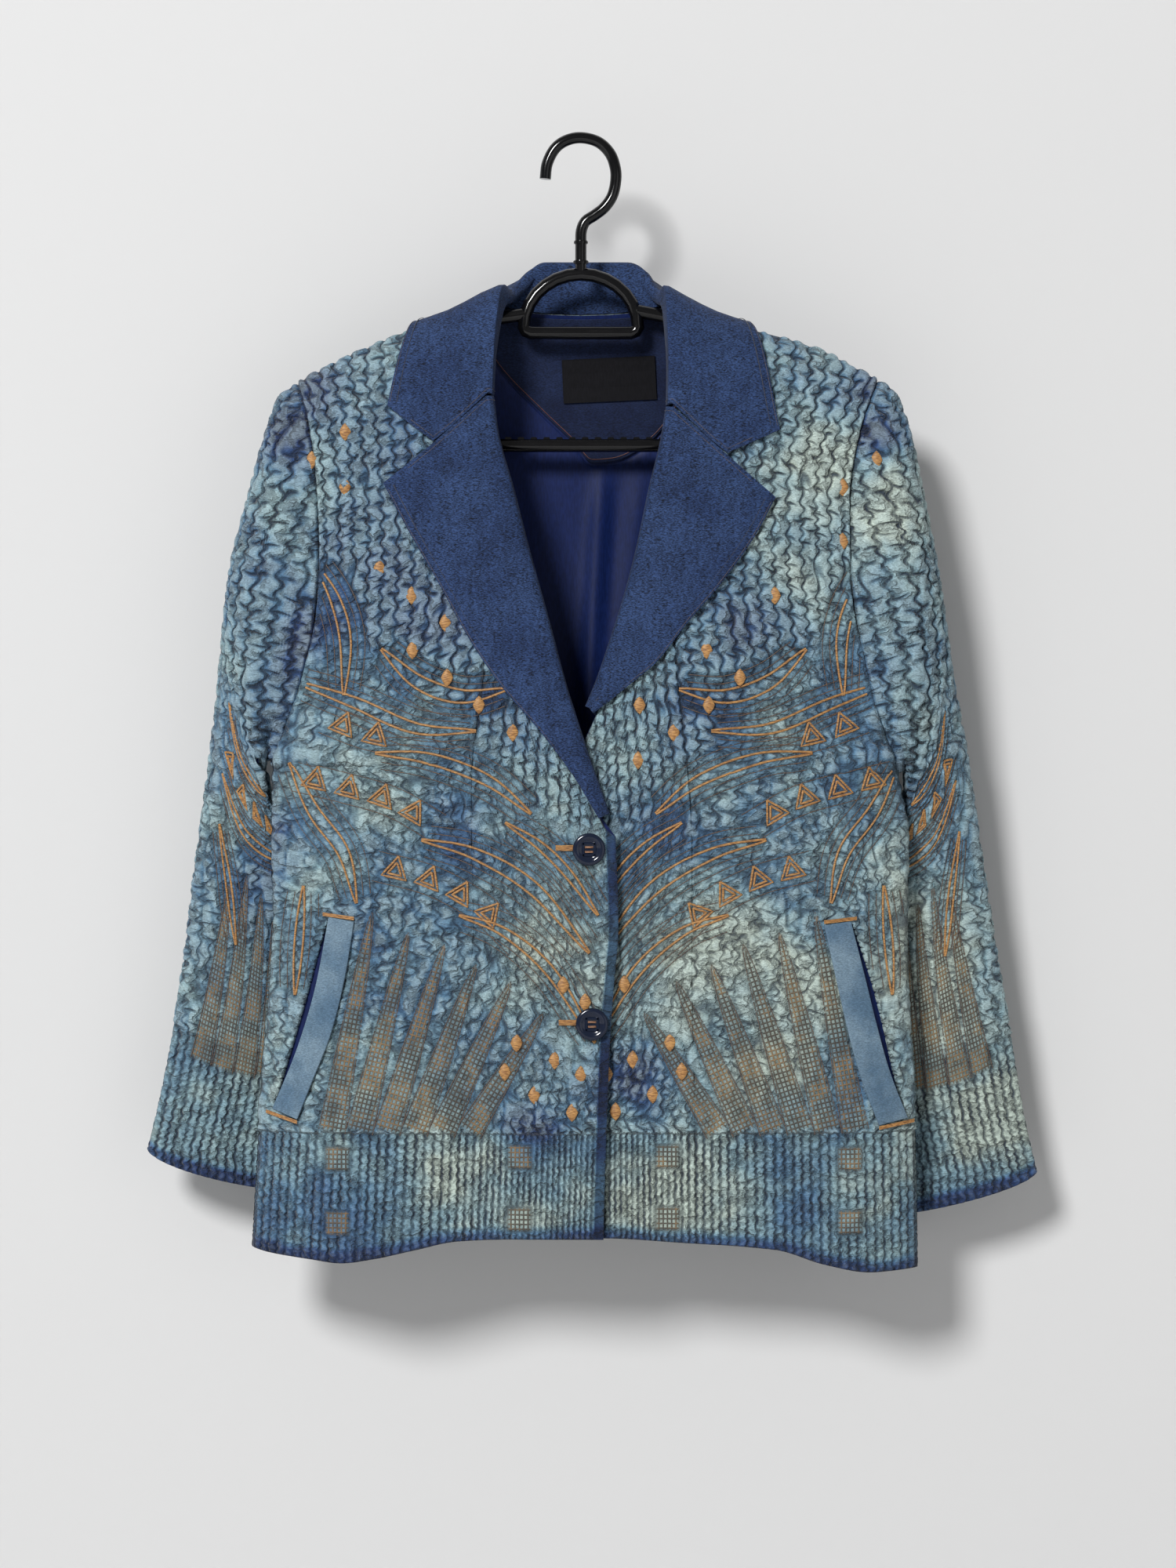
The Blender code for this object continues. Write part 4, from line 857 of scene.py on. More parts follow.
def band(points):
    """Two even lines with a chain of triangles between them."""
    line = smooth_line(points)
    run = run_of(line)
    edges = [beside(line, BAND_HALF), beside(line, -BAND_HALF)]
    triangles = []
    for at in np.arange(TRIANGLE_STEP * 0.6, run[-1] - TRIANGLE_STEP * 0.4, TRIANGLE_STEP):
        centre = points_at(line, at, run)
        ahead = points_at(line, at + 2, run) - centre
        turn = math.atan2(ahead[1], ahead[0])
        for size in (TRIANGLE_SIZE, 0.56 * TRIANGLE_SIZE):
            corners = [centre + size * 1.15 * np.array([math.cos(a), math.sin(a)])
                       for a in (turn - math.pi / 2, turn - math.pi * 7 / 6, turn - math.pi * 11 / 6)]
            corners = np.array(corners + [corners[0]])
            triangles.append(np.concatenate([np.linspace(a, b, 6)[:-1] for a, b in zip(corners, corners[1:])]
                                            + [corners[:1]]))
    return edges, triangles


def fan_edges(base, tip, half):
    """The outline of one hatched wedge, round from one corner of its base to the other by its tip."""
    s = np.linspace(0, 1, 40)
    line = np.array(base, float) + (np.array(tip, float) - base) * s[:, None]
    wide = half * (1 - s) ** FAN_TAPER
    return np.concatenate([beside(line, wide), beside(line, -wide)[::-1]])


def in_fans(fans, a, b):
    """A mask of the hatched wedges, with the place across and along each."""
    mask, u, v = np.zeros_like(a), np.zeros_like(a), np.zeros_like(a)
    for base, tip, half in fans:
        base, tip = np.array(base, float), np.array(tip, float)
        length = np.linalg.norm(tip - base)
        along = (tip - base) / length
        s = (a - base[0]) * along[0] + (b - base[1]) * along[1]
        w = -(a - base[0]) * along[1] + (b - base[1]) * along[0]
        wide = half * np.clip(1 - s / length, 0, 1) ** FAN_TAPER
        inside = ease((wide - np.abs(w)) / 1.2) * ease(s / 2) * (s < length)
        u, v = np.where(inside > mask, w, u), np.where(inside > mask, s, v)
        mask = np.maximum(mask, inside)
    return mask, u, v


def dots_of(side):
    """The lozenges on a front: loose columns beside the lapel, some at the shoulder and a few below."""
    found = list(LOW_DOTS)
    edge = [(z, abs(x)) for _, _, (x, z) in LAPEL[side]]
    for number, m in enumerate(np.arange(30, 212, 23.5)):
        for z in np.arange(-205 - 19 * (number % 2), -500, -38):
            beyond = m - smooth(edge, z)
            kept = hashed(number, round(-z), 21 + side)
            if (14 < beyond < 62 and z < -265 and kept > 0.2) or (m > 160 and z > -292 and kept > 0.45):
                if z > smooth(ZONE_TOP, m) + 8:
                    found.append((m + 3 * (kept - 0.5), z))
    return found


def design(leaves, bands, fans):
    """The lines of thick satin stitches and those of fine stitches."""
    satin, fine = [], []
    for points, half in leaves:
        line, swell = leaf_shape(points, half)
        satin += [beside(line, swell), beside(line, -swell)]
        for echo in ECHOES:
            fine += [beside(line, swell + echo)[2:-2], beside(line, -swell - echo)[2:-2]]
    for points in bands:
        edges, triangles = band(points)
        fine += edges
        satin += triangles
    for fan in fans:
        fine.append(fan_edges(*fan))
    return satin, fine


def stitch_tree(lines):
    points = np.concatenate(lines)
    tree = kdtree.KDTree(len(points))
    for index, (a, b) in enumerate(points):
        tree.insert((a, b, 0), index)
    tree.balance()
    return tree


def distances(tree, a, b):
    flat = zip(np.ravel(a).tolist(), np.ravel(b).tolist())
    return np.array([tree.find((p, q, 0))[2] for p, q in flat]).reshape(np.shape(a))


FRONT_SATIN, FRONT_FINE = design(LEAVES, BANDS, FANS)
SLEEVE_SATIN, SLEEVE_FINE = design(SLEEVE_LEAVES, SLEEVE_BANDS, SLEEVE_FANS)
FRONT_STITCHES = stitch_tree(FRONT_SATIN + FRONT_FINE)
SLEEVE_STITCHES = stitch_tree(SLEEVE_SATIN + SLEEVE_FINE)

# %% [markdown]
# ## The relief and colour of each panel
#
# Every function here returns the same fields: the height of the cloth's puckers in millimetres, where its
# creases run, how much indigo is left in it, where painted shade darkens its folds, the hatching, and where it
# is cut open.

# %%
FRONT_PUCKER, SLEEVE_PUCKER, BACK_PUCKER, FINE_PUCKER = 10.3, 10.5, 11.0, 6.0  # from fold to fold
BACK_LINE, SLEEVE_LINE = 12.5, 12.4  # between two gathered lines
BACK_HEIGHT, SLEEVE_HEIGHT, QUILTED_HEIGHT = 2.5, 3.2, 3.2
VALLEY, OUTER_VALLEY = 2.1, 2.6  # half width of the valley at a stitch, in the quilted cloth and outside it
FAR = 9  # a distance from any stitch at which it no longer shows
SLEEVE_AROUND, SLEEVE_DOWN = 152, 562  # from the outer edge to the inner one, and from top to cuff
SLEEVE_ZONE, FINE_RIBS_FROM = (188, 446), 0.79
# Places where the bleaching left more dye, or less where it is negative: x, z, size and how much
BLEACH = [
    (-120, -215, 45, 0.36), (-185, -330, 40, 0.34), (-140, -285, 50, 0.22), (-95, -330, 38, 0.55),
    (-60, -390, 35, 0.35), (-150, -455, 55, -0.12), (-200, -480, 30, 0.4), (-110, -500, 40, 0.25),
    (-25, -560, 30, -0.3), (-120, -600, 40, 0.35), (-60, -640, 38, 0.3), (-150, -655, 40, -0.1),
    (-95, -715, 45, -0.4), (-30, -690, 26, 0.55), (-170, -760, 50, 0.25), (-40, -745, 36, -0.25),
    (190, -225, 50, -0.4), (150, -300, 45, -0.15), (115, -335, 36, 0.45), (80, -400, 36, 0.3),
    (190, -400, 40, 0.2), (60, -480, 40, 0.35), (100, -560, 50, -0.38), (60, -600, 38, -0.12),
    (160, -590, 40, -0.15), (150, -520, 34, 0.12), (40, -655, 30, 0.5), (125, -650, 50, -0.2),
    (75, -740, 38, -0.5), (150, -740, 34, 0.35), (200, -720, 34, -0.3), (-196, -176, 22, 0.55),
    (-235, -280, 45, 0.22), (278, -655, 42, -0.5), (198, -178, 20, 0.6), (205, -620, 34, -0.1),
    (255, -560, 55, -0.3), (30, -740, 24, -0.25),
]


def bleached(x, z):
    """How much indigo is left at a place, from 0 to 1."""
    dye = 0.36 + 0.3 * (cloud(x, z, 46, 1) - 0.5) + 0.12 * (cloud(x, z, 15, 2) - 0.5)
    for at_x, at_z, size, more in BLEACH:
        dye = dye + more * np.exp(-(((x - at_x) / size) ** 2 + ((z - at_z) / (0.85 * size)) ** 2))
    return dye


def clear_of_lapel(side, m, z):
    """1 where no lapel lies over the cloth, so that its puckers may stand higher."""
    edge = [(at_z, abs(at_x)) for _, _, (at_x, at_z) in LAPEL[side]]
    return np.where(z < edge[-1][0] - 6, 1.0, ease((m - 2 - smooth(edge, z)) / 8))


def front_fields(side, x, z):
    """The fields of a front: the shirred chest, the embroidered middle and the fine ribs below."""
    edge = smooth(FRONT_EDGE[side], z)
    share = np.clip((x - edge) / (side * half_width(x, z) - edge), 0, 1)
    c = np.interp(share, WIDTH_SHARE, CLOTH_SHARE)
    m = side * (x - centre_of(side))
    wide = c * 250
    coarse = smooth([(0, 0), (90, 11.0), (160, 16.8), (255, 24.4)], wide)
    low = z < FINE_RIBS_BELOW
    u = np.where(low, 2 * coarse, coarse)
    pitch = np.where(low, 0.5, 1) * smooth([(0, 8), (80, 8.6), (120, 12), (255, 12.5)], wide)
    top = smooth(ZONE_TOP, m)
    zone = ease((top - z) / 16) * ease((z - FINE_RIBS_BELOW) / 8)
    u = u + 2.0 * zone * (cloud(x, z, 36, 5) - 0.5)
    made = shirring(u, -z, pitch, np.where(low, FINE_PUCKER, FRONT_PUCKER),
                    np.where(low, 0.8, 1.0) + 0.15 * zone, np.where(low, 0.45, 1.0))
    clear = clear_of_lapel(side, m, z)
    height = made["height"] * np.where(low, 1.9, (1.0 + pitch * 0.14) * (1 + 0.35 * clear))

    # The embroidered middle is quilted by its own stitches, with loose folds between them
    loose = ease((cloud(x, z, 24, 11) - 0.12) / 0.3)
    away = distances(FRONT_STITCHES, m, z)
    wrinkle = np.abs(2 * cloud(x + 5 * cloud(x, z, 14, 5), 0.8 * z, 11.5, 6) - 1)
    wrinkle_2 = np.abs(2 * cloud(x - 0.5 * z, 0.6 * z + 0.3 * x, 7.5, 7) - 1)
    crumpled = (0.45 + 0.55 * ease(wrinkle / 0.35)) * (0.7 + 0.3 * ease(wrinkle_2 / 0.35))
    puffed = (1 - np.exp(-((away / VALLEY) ** 2))) * crumpled
    puffed = puffed * (1 - loose + loose * (0.35 + 0.65 * made["height"]))
    height = height * (1 - zone) * (1 - np.exp(-((away / OUTER_VALLEY) ** 2)))
    height = height + zone * puffed * QUILTED_HEIGHT
    # Painted shade along the valleys of the wrinkles in the quilted middle
    fold_shade = zone * np.maximum(0.75 * ease(1 - wrinkle / 0.08), 0.5 * ease(1 - wrinkle_2 / 0.08))
    hatch, hatch_u, hatch_v = in_fans(FANS, m, z)
    height = height * (1 - 0.55 * hatch)
    fold_shade = fold_shade * (1 - 0.6 * hatch)
    hem_panel = np.zeros_like(x)
    for at, foot in SQUARES:
        inside = np.maximum(np.abs(m - at), np.abs(z - foot))
        square = ease((SQUARE_HALF - inside) / 1.5)
        around = 0.8 * ease((SQUARE_HALF + 3 - inside) / 4)
        raised = 0.7 + 1.1 * (1 - np.exp(-np.abs(inside - SQUARE_HALF) / 3))
        height = np.where(around > 0, height * (1 - around) + around * raised, height)
        hem_panel = np.maximum(hem_panel, around)
        # Painted shade along each square's stitched outline
        fold_shade = np.maximum(fold_shade, around * np.exp(-(((inside - SQUARE_HALF) / 1.1) ** 2)) * 0.8)
        hatch_u = np.where(square > hatch, m - at, hatch_u)
        hatch_v = np.where(square > hatch, z - foot, hatch_v)
        hatch = np.maximum(hatch, square)

    # A plain strip runs down the front edge, and the cloth is drawn in at its other edges
    margin = side * (x - edge)
    plain = ease((EDGE_MARGIN + 1 - margin) / 1.6)
    top_edge = front_top(side)(x) - z
    hem_edge = z - smooth(HEM, x)
    side_edge = side * (side * half_width(x, z) - x)
    drawn = ease(np.minimum(top_edge + 0.3, np.minimum(hem_edge + 0.5, side_edge + 1.2)) / 2.2)
    height = height * drawn * (1 - plain) + 0.35 * plain
    dye = bleached(x, z) + 0.4 * plain + 0.55 * ease((12 - hem_edge) / 10)
    shirred = (1 - plain) * (1 - hatch) * (1 - zone * (1 - 0.85 * loose)) * (1 - hem_panel)
    return {**made, "shirred": shirred, "fold_shade": fold_shade * (1 - plain), "dye": dye, "height": height,
            "seam": np.where(zone * (1 - plain) > 0.1, away, FAR), "hatch": hatch * (1 - plain),
            "hatch_u": hatch_u, "hatch_v": hatch_v, "open": slit_share(side, x, z)}


def slit_edges(side, z):
    """The two edges of the pocket's slit, beside its welt, and whether it reaches this height."""
    rows = WELT[side]["outer"]
    t = np.interp(z, [r[2] for r in rows][::-1], [r[0] for r in rows][::-1])
    at_x = smooth([(r[0], r[1]) for r in rows], t)
    wide = SLIT_WIDTH * np.sin(math.pi * t) ** 0.7
    return at_x - side * 1.0, at_x + side * wide, (z < rows[0][2]) & (z > rows[-1][2])


def onto_slit(side, x, z):
    """The columns nearest to the slit's edges, moved onto them, so that it is cut smoothly."""
    rows = np.arange(len(x))
    for edge in (0, 1):
        at, there = slit_edges(side, z)[edge], slit_edges(side, z)[2]
        near = np.argmin(np.abs(x - at), axis=1)
        x[rows, near] = np.where(there[rows, near], at[rows, near], x[rows, near])
    return x


def slit_share(side, x, z):
    """1 inside the slit of the pocket."""
    inner, outer, there = slit_edges(side, z)
    return ((side * (x - inner) > 0.02) & (side * (outer - x) > 0.02) & there).astype(float)


def back_fields(c, x, z):
    low = z < FINE_RIBS_BELOW
    coarse = c * 500 / BACK_LINE
    pitch = np.where(low, 0.5, 1) * BACK_LINE
    made = shirring(np.where(low, 2 * coarse, coarse), -z, pitch, np.where(low, FINE_PUCKER, BACK_PUCKER),
                    np.where(low, 0.8, 1.0), np.where(low, 0.45, 1.0))
    side_edge = half_width(x, z) - np.abs(x) + 0.6
    edge = np.minimum(back_top(x) - z, np.minimum(z - smooth(HEM, x) + 0.5, side_edge))
    height = made["height"] * np.where(low, 1.7, BACK_HEIGHT) * ease(edge / 2.6)
    dye = bleached(-x, z) + 0.55 * ease((12 - (z - smooth(HEM, x))) / 10)
    none = np.zeros_like(x)
    return {**made, "shirred": none + 1, "fold_shade": none, "seam": none + FAR, "dye": dye, "height": height,
            "hatch": none, "hatch_u": none, "hatch_v": none, "open": none}


OUTER_EDGE = {side: np.array([sleeve_point(side, np.zeros(1), v)[0] for v in np.linspace(0, 1, 80)])
              for side in (RIGHT, LEFT)}


def from_outer_edge(side, at):
    """How far each place on a sleeve is from its outer edge at the same height."""
    edge = OUTER_EDGE[side][::-1]
    found = [np.interp(at[..., 2], edge[:, 2], edge[:, k]) for k in (0, 1)]
    return np.hypot(at[..., 0] - found[0], at[..., 1] - found[1])


def sleeve_fields(side, share, v, at):
    """The fields of a sleeve, over the way round it and the way down it."""
    around, down = np.abs(share) * SLEEVE_AROUND, v * SLEEVE_DOWN
    low = v > FINE_RIBS_FROM
    x, z = at[..., 0], at[..., 2]
    coarse = np.sign(share) * from_outer_edge(side, at) / SLEEVE_LINE
    pitch = np.where(low, 0.5, 1.0) * SLEEVE_LINE
    front = ease(share / 0.08)
    zone = ease((down - SLEEVE_ZONE[0]) / 14) * ease((SLEEVE_ZONE[1] - down) / 8)
    zone = zone * front * ease((0.93 - share) / 0.06)
    u = np.where(low, 2 * coarse, coarse) + 60 + 1.2 * zone * (cloud(around, down, 36, 5) - 0.5)
    made = shirring(u, -z, pitch, np.where(low, FINE_PUCKER, SLEEVE_PUCKER),
                    np.where(low, 0.8, 1.05) + 0.15 * zone, np.where(low, 0.5, 1.0))
    height = made["height"] * np.where(low, 1.8, SLEEVE_HEIGHT)
    away = distances(SLEEVE_STITCHES, around, down)
    away = np.where(share > 0, away, 30)
    wrinkle = np.abs(2 * cloud(around + 5 * cloud(around, down, 14, 5), 0.8 * down, 12, 16 + side) - 1)
    puffed = (1 - np.exp(-((away / (VALLEY + 0.1)) ** 2))) * (0.4 + 0.6 * ease(wrinkle / 0.4))
    loose = ease((cloud(around, down, 24, 12 + side) - 0.12) / 0.3)
    puffed = puffed * (1 - loose + loose * (0.35 + 0.65 * made["height"]))
    height = height * (1 - zone) * (1 - np.exp(-((away / OUTER_VALLEY) ** 2)))
    height = height + zone * puffed * QUILTED_HEIGHT
    # Painted shade along the valleys of the wrinkles in the quilted part
    fold_shade = zone * 0.45 * ease(1 - wrinkle / 0.06)
    hatch, hatch_u, hatch_v = in_fans(SLEEVE_FANS, around, down)
    hatch = hatch * front
    height = height * (1 - 0.55 * hatch)
    fold_shade = fold_shade * (1 - 0.6 * hatch)
    height = height * ease((down + 1.2) / 3.4) * ease((SLEEVE_DOWN + 2 - down) / 3)
    dye = bleached(x * 0.9 + 14 * side, z + 30) + 0.6 * ease((down - 545) / 10) + 0.1 * ease((60 - down) / 40)
    return {**made, "shirred": (1 - hatch) * (1 - zone * (1 - 0.8 * loose)), "fold_shade": fold_shade,
            "seam": np.where(zone > 0.1, away, FAR), "dye": dye, "height": height, "hatch": hatch,
            "hatch_u": hatch_u, "hatch_v": hatch_v, "open": np.zeros_like(x)}


# %% [markdown]
# ## Node helpers
#
# Each returns the socket that holds its result, and takes sockets or plain values.

# %%
def new_material(name):
    made = bpy.data.materials.new(name)
    made.use_nodes = True
    return made, made.node_tree, made.node_tree.nodes["Principled BSDF"]


def link(tree, value, socket):
    if isinstance(value, bpy.types.NodeSocket):
        tree.links.new(value, socket)
    else:
        socket.default_value = value


def maths(tree, operation, *values):
    node = tree.nodes.new("ShaderNodeMath")
    node.operation = operation
    for value, socket in zip(values, node.inputs):
        link(tree, value, socket)
    return node.outputs[0]


def attribute(tree, name):
    node = tree.nodes.new("ShaderNodeAttribute")
    node.attribute_name = name
    return node.outputs["Fac"]


def ranged(tree, value, low, high, to_low=0.0, to_high=1.0):
    node = tree.nodes.new("ShaderNodeMapRange")
    node.interpolation_type = "SMOOTHSTEP"
    for given, socket in zip((value, low, high, to_low, to_high), node.inputs):
        link(tree, given, socket)
    return node.outputs[0]


def mixed(tree, share, first, second):
    node = tree.nodes.new("ShaderNodeMix")
    node.data_type = "RGBA"
    for given, index in ((share, 0), (first, 6), (second, 7)):
        link(tree, (*given, 1) if isinstance(given, tuple) and len(given) == 3 else given, node.inputs[index])
    return node.outputs[2]


def noise(tree, scale, stretch=(1, 1, 1), turn=(0, 0, 0), detail=2.0, rough=0.5):
    """Noise over the object's own metres; scale is in lumps a metre."""
    place = tree.nodes.new("ShaderNodeTexCoord")
    mapping = tree.nodes.new("ShaderNodeMapping")
    mapping.inputs["Scale"].default_value = stretch
    mapping.inputs["Rotation"].default_value = turn
    texture = tree.nodes.new("ShaderNodeTexNoise")
    texture.inputs["Scale"].default_value = scale
    texture.inputs["Detail"].default_value = detail
    texture.inputs["Roughness"].default_value = rough
    tree.links.new(place.outputs["Object"], mapping.inputs["Vector"])
    tree.links.new(mapping.outputs[0], texture.inputs["Vector"])
    return texture.outputs["Fac"]


def ramp(tree, value, stops):
    node = tree.nodes.new("ShaderNodeValToRGB")
    elements = node.color_ramp.elements
    while len(elements) < len(stops):
        elements.new(0.5)
    for element, (place, colour) in zip(elements, stops):
        element.position, element.color = place, (*colour, 1)
    link(tree, value, node.inputs[0])
    return node.outputs[0]


def bump(tree, shader, height, strength, distance):
    node = tree.nodes.new("ShaderNodeBump")
    node.inputs["Strength"].default_value = strength
    node.inputs["Distance"].default_value = distance
    link(tree, height, node.inputs["Height"])
    tree.links.new(node.outputs[0], shader.inputs["Normal"])


def product(tree, *values):
    return maths(tree, "MULTIPLY", *values)


def most(tree, *values):
    return maths(tree, "MAXIMUM", *values)


def ridge(tree, value):
    """0 along the wandering lines where a noise crosses its middle, and more away from them."""
    return maths(tree, "ABSOLUTE", maths(tree, "SUBTRACT", product(tree, value, 2.0), 1.0))


def near_whole(tree, value, size):
    """The distance from the nearest whole number of value, times size."""
    part = maths(tree, "FRACT", maths(tree, "ADD", value, 0.5))
    return product(tree, maths(tree, "ABSOLUTE", maths(tree, "SUBTRACT", part, 0.5)), size)


# %% [markdown]
# ## Materials
#
# Denim's own grain is a fine fleck along the weft with a faint slanting twill. In the shirred cloth the dye
# stays in the creases and is worn off the crests, and painted shade darkens the creases and the low parts.

# %%
# From bleached bare to full indigo
DYE_COLOURS = [(0.0, (0.44, 0.52, 0.46)), (0.28, (0.225, 0.35, 0.395)), (0.55, (0.092, 0.192, 0.305)),
               (0.85, (0.036, 0.080, 0.205)), (1.0, (0.021, 0.042, 0.125))]
# The crease colour is indigo left in the creases together with painted shade in them
WORN_COLOUR, HATCHED_COLOUR, CREASE_DYE_AND_SHADE_COLOUR = (0.43, 0.53, 0.53), (0.20, 0.235, 0.20), (0.009, 0.020, 0.048)
HATCH_THREAD = (0.075, 0.058, 0.045), (0.27, 0.165, 0.075)  # brown and orange


def denim_grain(tree, strength, slubs=0.4):
    """Light and dark flecks of denim, about 1."""
    fleck = noise(tree, 620, (1.0, 1.0, 2.6), (0, 0.5, 0), 3, 0.65)
    slub = noise(tree, 110, (2.2, 2.2, 0.5), detail=3)
    both = maths(tree, "ADD", ranged(tree, fleck, 0.28, 0.75, -strength, strength),
                 ranged(tree, slub, 0.3, 0.7, -strength * slubs, strength * slubs))
    return maths(tree, "ADD", both, 1.0), fleck


def times(tree, colour, factor):
    node = tree.nodes.new("ShaderNodeVectorMath")
    node.operation = "SCALE"
    tree.links.new(colour, node.inputs[0])
    tree.links.new(factor, node.inputs["Scale"])
    return node.outputs[0]


def shirred_denim():
    made, tree, shader = new_material("shirred_denim")
    # Dark lines along the gathered lines and the puckers' folds: dye left in the creases and painted shade
    line = near_whole(tree, attribute(tree, "line"), attribute(tree, "pitch"))
    pucker = near_whole(tree, attribute(tree, "pucker"), attribute(tree, "length"))
    wide = maths(tree, "ADD", product(tree, noise(tree, 170, detail=2), 2.3), 0.3)
    line_dark = product(tree, ranged(tree, line, 0.1, wide, 1.0, 0.0),
                        ranged(tree, noise(tree, 75, detail=2), 0.38, 0.62, 0.5, 1.0))
    pucker_dark = product(tree, ranged(tree, pucker, 0.1, 1.45, 1.0, 0.0), attribute(tree, "reach"))
    crease = product(tree, most(tree, line_dark, pucker_dark), attribute(tree, "shirred"))
    # Painted shade in the valleys right beside the stitches
    stitch_valley_shade = ranged(tree, attribute(tree, "seam"), 0.4, 1.4, 0.28, 0.0)
    crease = most(tree, crease, most(tree, attribute(tree, "fold_shade"), stitch_valley_shade))

    # Fine creases wander between the stitches, drawn as bump and as painted shade along them
    broad = ridge(tree, noise(tree, 48, (1.0, 1.0, 1.4), (0, 0.4, 0), 4, 0.55))
    small = ridge(tree, noise(tree, 120, (0.7, 1.0, 1.6), (0, -0.3, 0), 3, 0.5))
    crumple = most(tree, ranged(tree, broad, 0.0, 0.11, 1.0, 0.0),
                   product(tree, ranged(tree, small, 0.0, 0.16, 1.0, 0.0), 0.3))
    crumple = product(tree, crumple, ranged(tree, attribute(tree, "hatch"), 0.0, 1.0, 1.0, 0.3))

    mottled = ranged(tree, noise(tree, 34, detail=4), 0.3, 0.7, -0.14, 0.14)
    cloth = ramp(tree, maths(tree, "ADD", attribute(tree, "dye"), mottled), DYE_COLOURS)
    worn = ranged(tree, attribute(tree, "relief"), 1.2, 2.9, 0.0, 0.34)
    cloth = mixed(tree, worn, cloth, WORN_COLOUR)
    # Painted shade: the cloth is darker where its relief is low, and never below 0.8 within a few millimetres
    # of a stitch
    shade = most(tree, ranged(tree, attribute(tree, "relief"), 0.0, 1.8, 0.42, 1.0),
                 ranged(tree, attribute(tree, "seam"), 2.5, 7.0, 0.8, 0.0))
    cloth = times(tree, cloth, shade)
    cloth = times(tree, cloth, ranged(tree, crumple, 0.0, 1.0, 1.06, 0.66))
    cloth = mixed(tree, product(tree, attribute(tree, "hatch"), 0.35), cloth, HATCHED_COLOUR)
    grain, fleck = denim_grain(tree, 0.3)
    cloth = times(tree, cloth, grain)
    # The creases take the crease colour: indigo left in them and painted shade
    cloth = mixed(tree, product(tree, crease, 0.85), cloth, CREASE_DYE_AND_SHADE_COLOUR)

    # Hatching in brown and orange thread
    rows = []
    for field, spacing in (("hatch_u", 2.9), ("hatch_v", 3.3)):
        away = near_whole(tree, maths(tree, "DIVIDE", attribute(tree, field), spacing), spacing)
        rows.append(ranged(tree, away, 0.25, 0.7, 1.0, 0.0))
    thread = product(tree, most(tree, *rows), attribute(tree, "hatch"))
    cloth = mixed(tree, product(tree, thread, 0.9), cloth,
                  mixed(tree, ranged(tree, noise(tree, 60), 0.4, 0.62), *HATCH_THREAD))
    tree.links.new(cloth, shader.inputs["Base Color"])
    shader.inputs["Roughness"].default_value = 0.88
    shader.inputs["Specular IOR Level"].default_value = 0.25
    shader.inputs["Sheen Weight"].default_value = 0.12
    raised = maths(tree, "ADD", product(tree, fleck, 0.35), product(tree, thread, 0.6))
    raised = maths(tree, "SUBTRACT", raised, product(tree, crease, 1.5))
    raised = maths(tree, "SUBTRACT", raised, product(tree, crumple, 1.3))
    bump(tree, shader, raised, 1.0, 0.0011)
    return made


def plain_denim(name, dark, light, grain_strength=0.34):
    made, tree, shader = new_material(name)
    grain, fleck = denim_grain(tree, grain_strength, 0.15)
    patches = ranged(tree, noise(tree, 26, detail=6, rough=0.6), 0.34, 0.66)
    cloth = times(tree, mixed(tree, patches, dark, light), grain)
    tree.links.new(cloth, shader.inputs["Base Color"])
    shader.inputs["Roughness"].default_value = 0.85
    shader.inputs["Specular IOR Level"].default_value = 0.25
    shader.inputs["Sheen Weight"].default_value = 0.04
    bump(tree, shader, fleck, 0.5, 0.0005)
    return made


def satin(name, colour, roughness=0.42, shine=0.3):
    made, tree, shader = new_material(name)
    weave = noise(tree, 900, (1, 1, 0.2), detail=1)
    shade = ranged(tree, weave, 0.3, 0.7, 0.82, 1.15)
    base = tree.nodes.new("ShaderNodeRGB")
    base.outputs[0].default_value = (*colour, 1)
    tree.links.new(times(tree, base.outputs[0], shade), shader.inputs["Base Color"])
    shader.inputs["Roughness"].default_value = roughness
    shader.inputs["Specular IOR Level"].default_value = shine
    bump(tree, shader, noise(tree, 60, (1, 1, 0.3), detail=3), 0.25, 0.0012)
    return made


def thread_material(name, dark, light):
    """Embroidery thread, with its strands showing as fine bars of light and dark."""
    made, tree, shader = new_material(name)
    strand = noise(tree, 800, (0.35, 1, 2.2), (0, 0.35, 0), detail=2)
    tree.links.new(mixed(tree, ranged(tree, strand, 0.35, 0.65), dark, light), shader.inputs["Base Color"])
    shader.inputs["Roughness"].default_value = 0.5
    shader.inputs["Sheen Weight"].default_value = 0.2
    bump(tree, shader, strand, 0.5, 0.0004)
    return made


def gloss_plastic(name, colour, roughness):
    made, tree, shader = new_material(name)
    base = mixed(tree, noise(tree, 300, detail=3), colour, tuple(1.5 * part for part in colour))
    tree.links.new(base, shader.inputs["Base Color"])
    tree.links.new(ranged(tree, noise(tree, 90, detail=3), 0.3, 0.7, roughness * 0.8, roughness * 1.3),
                   shader.inputs["Roughness"])
    shader.inputs["Specular IOR Level"].default_value = 0.4
    bump(tree, shader, noise(tree, 40, detail=2), 0.12, 0.0006)
    return made


SHIRRED = shirred_denim()
PLAIN = plain_denim("plain_denim", (0.0145, 0.031, 0.089), (0.0235, 0.047, 0.122), 0.95)
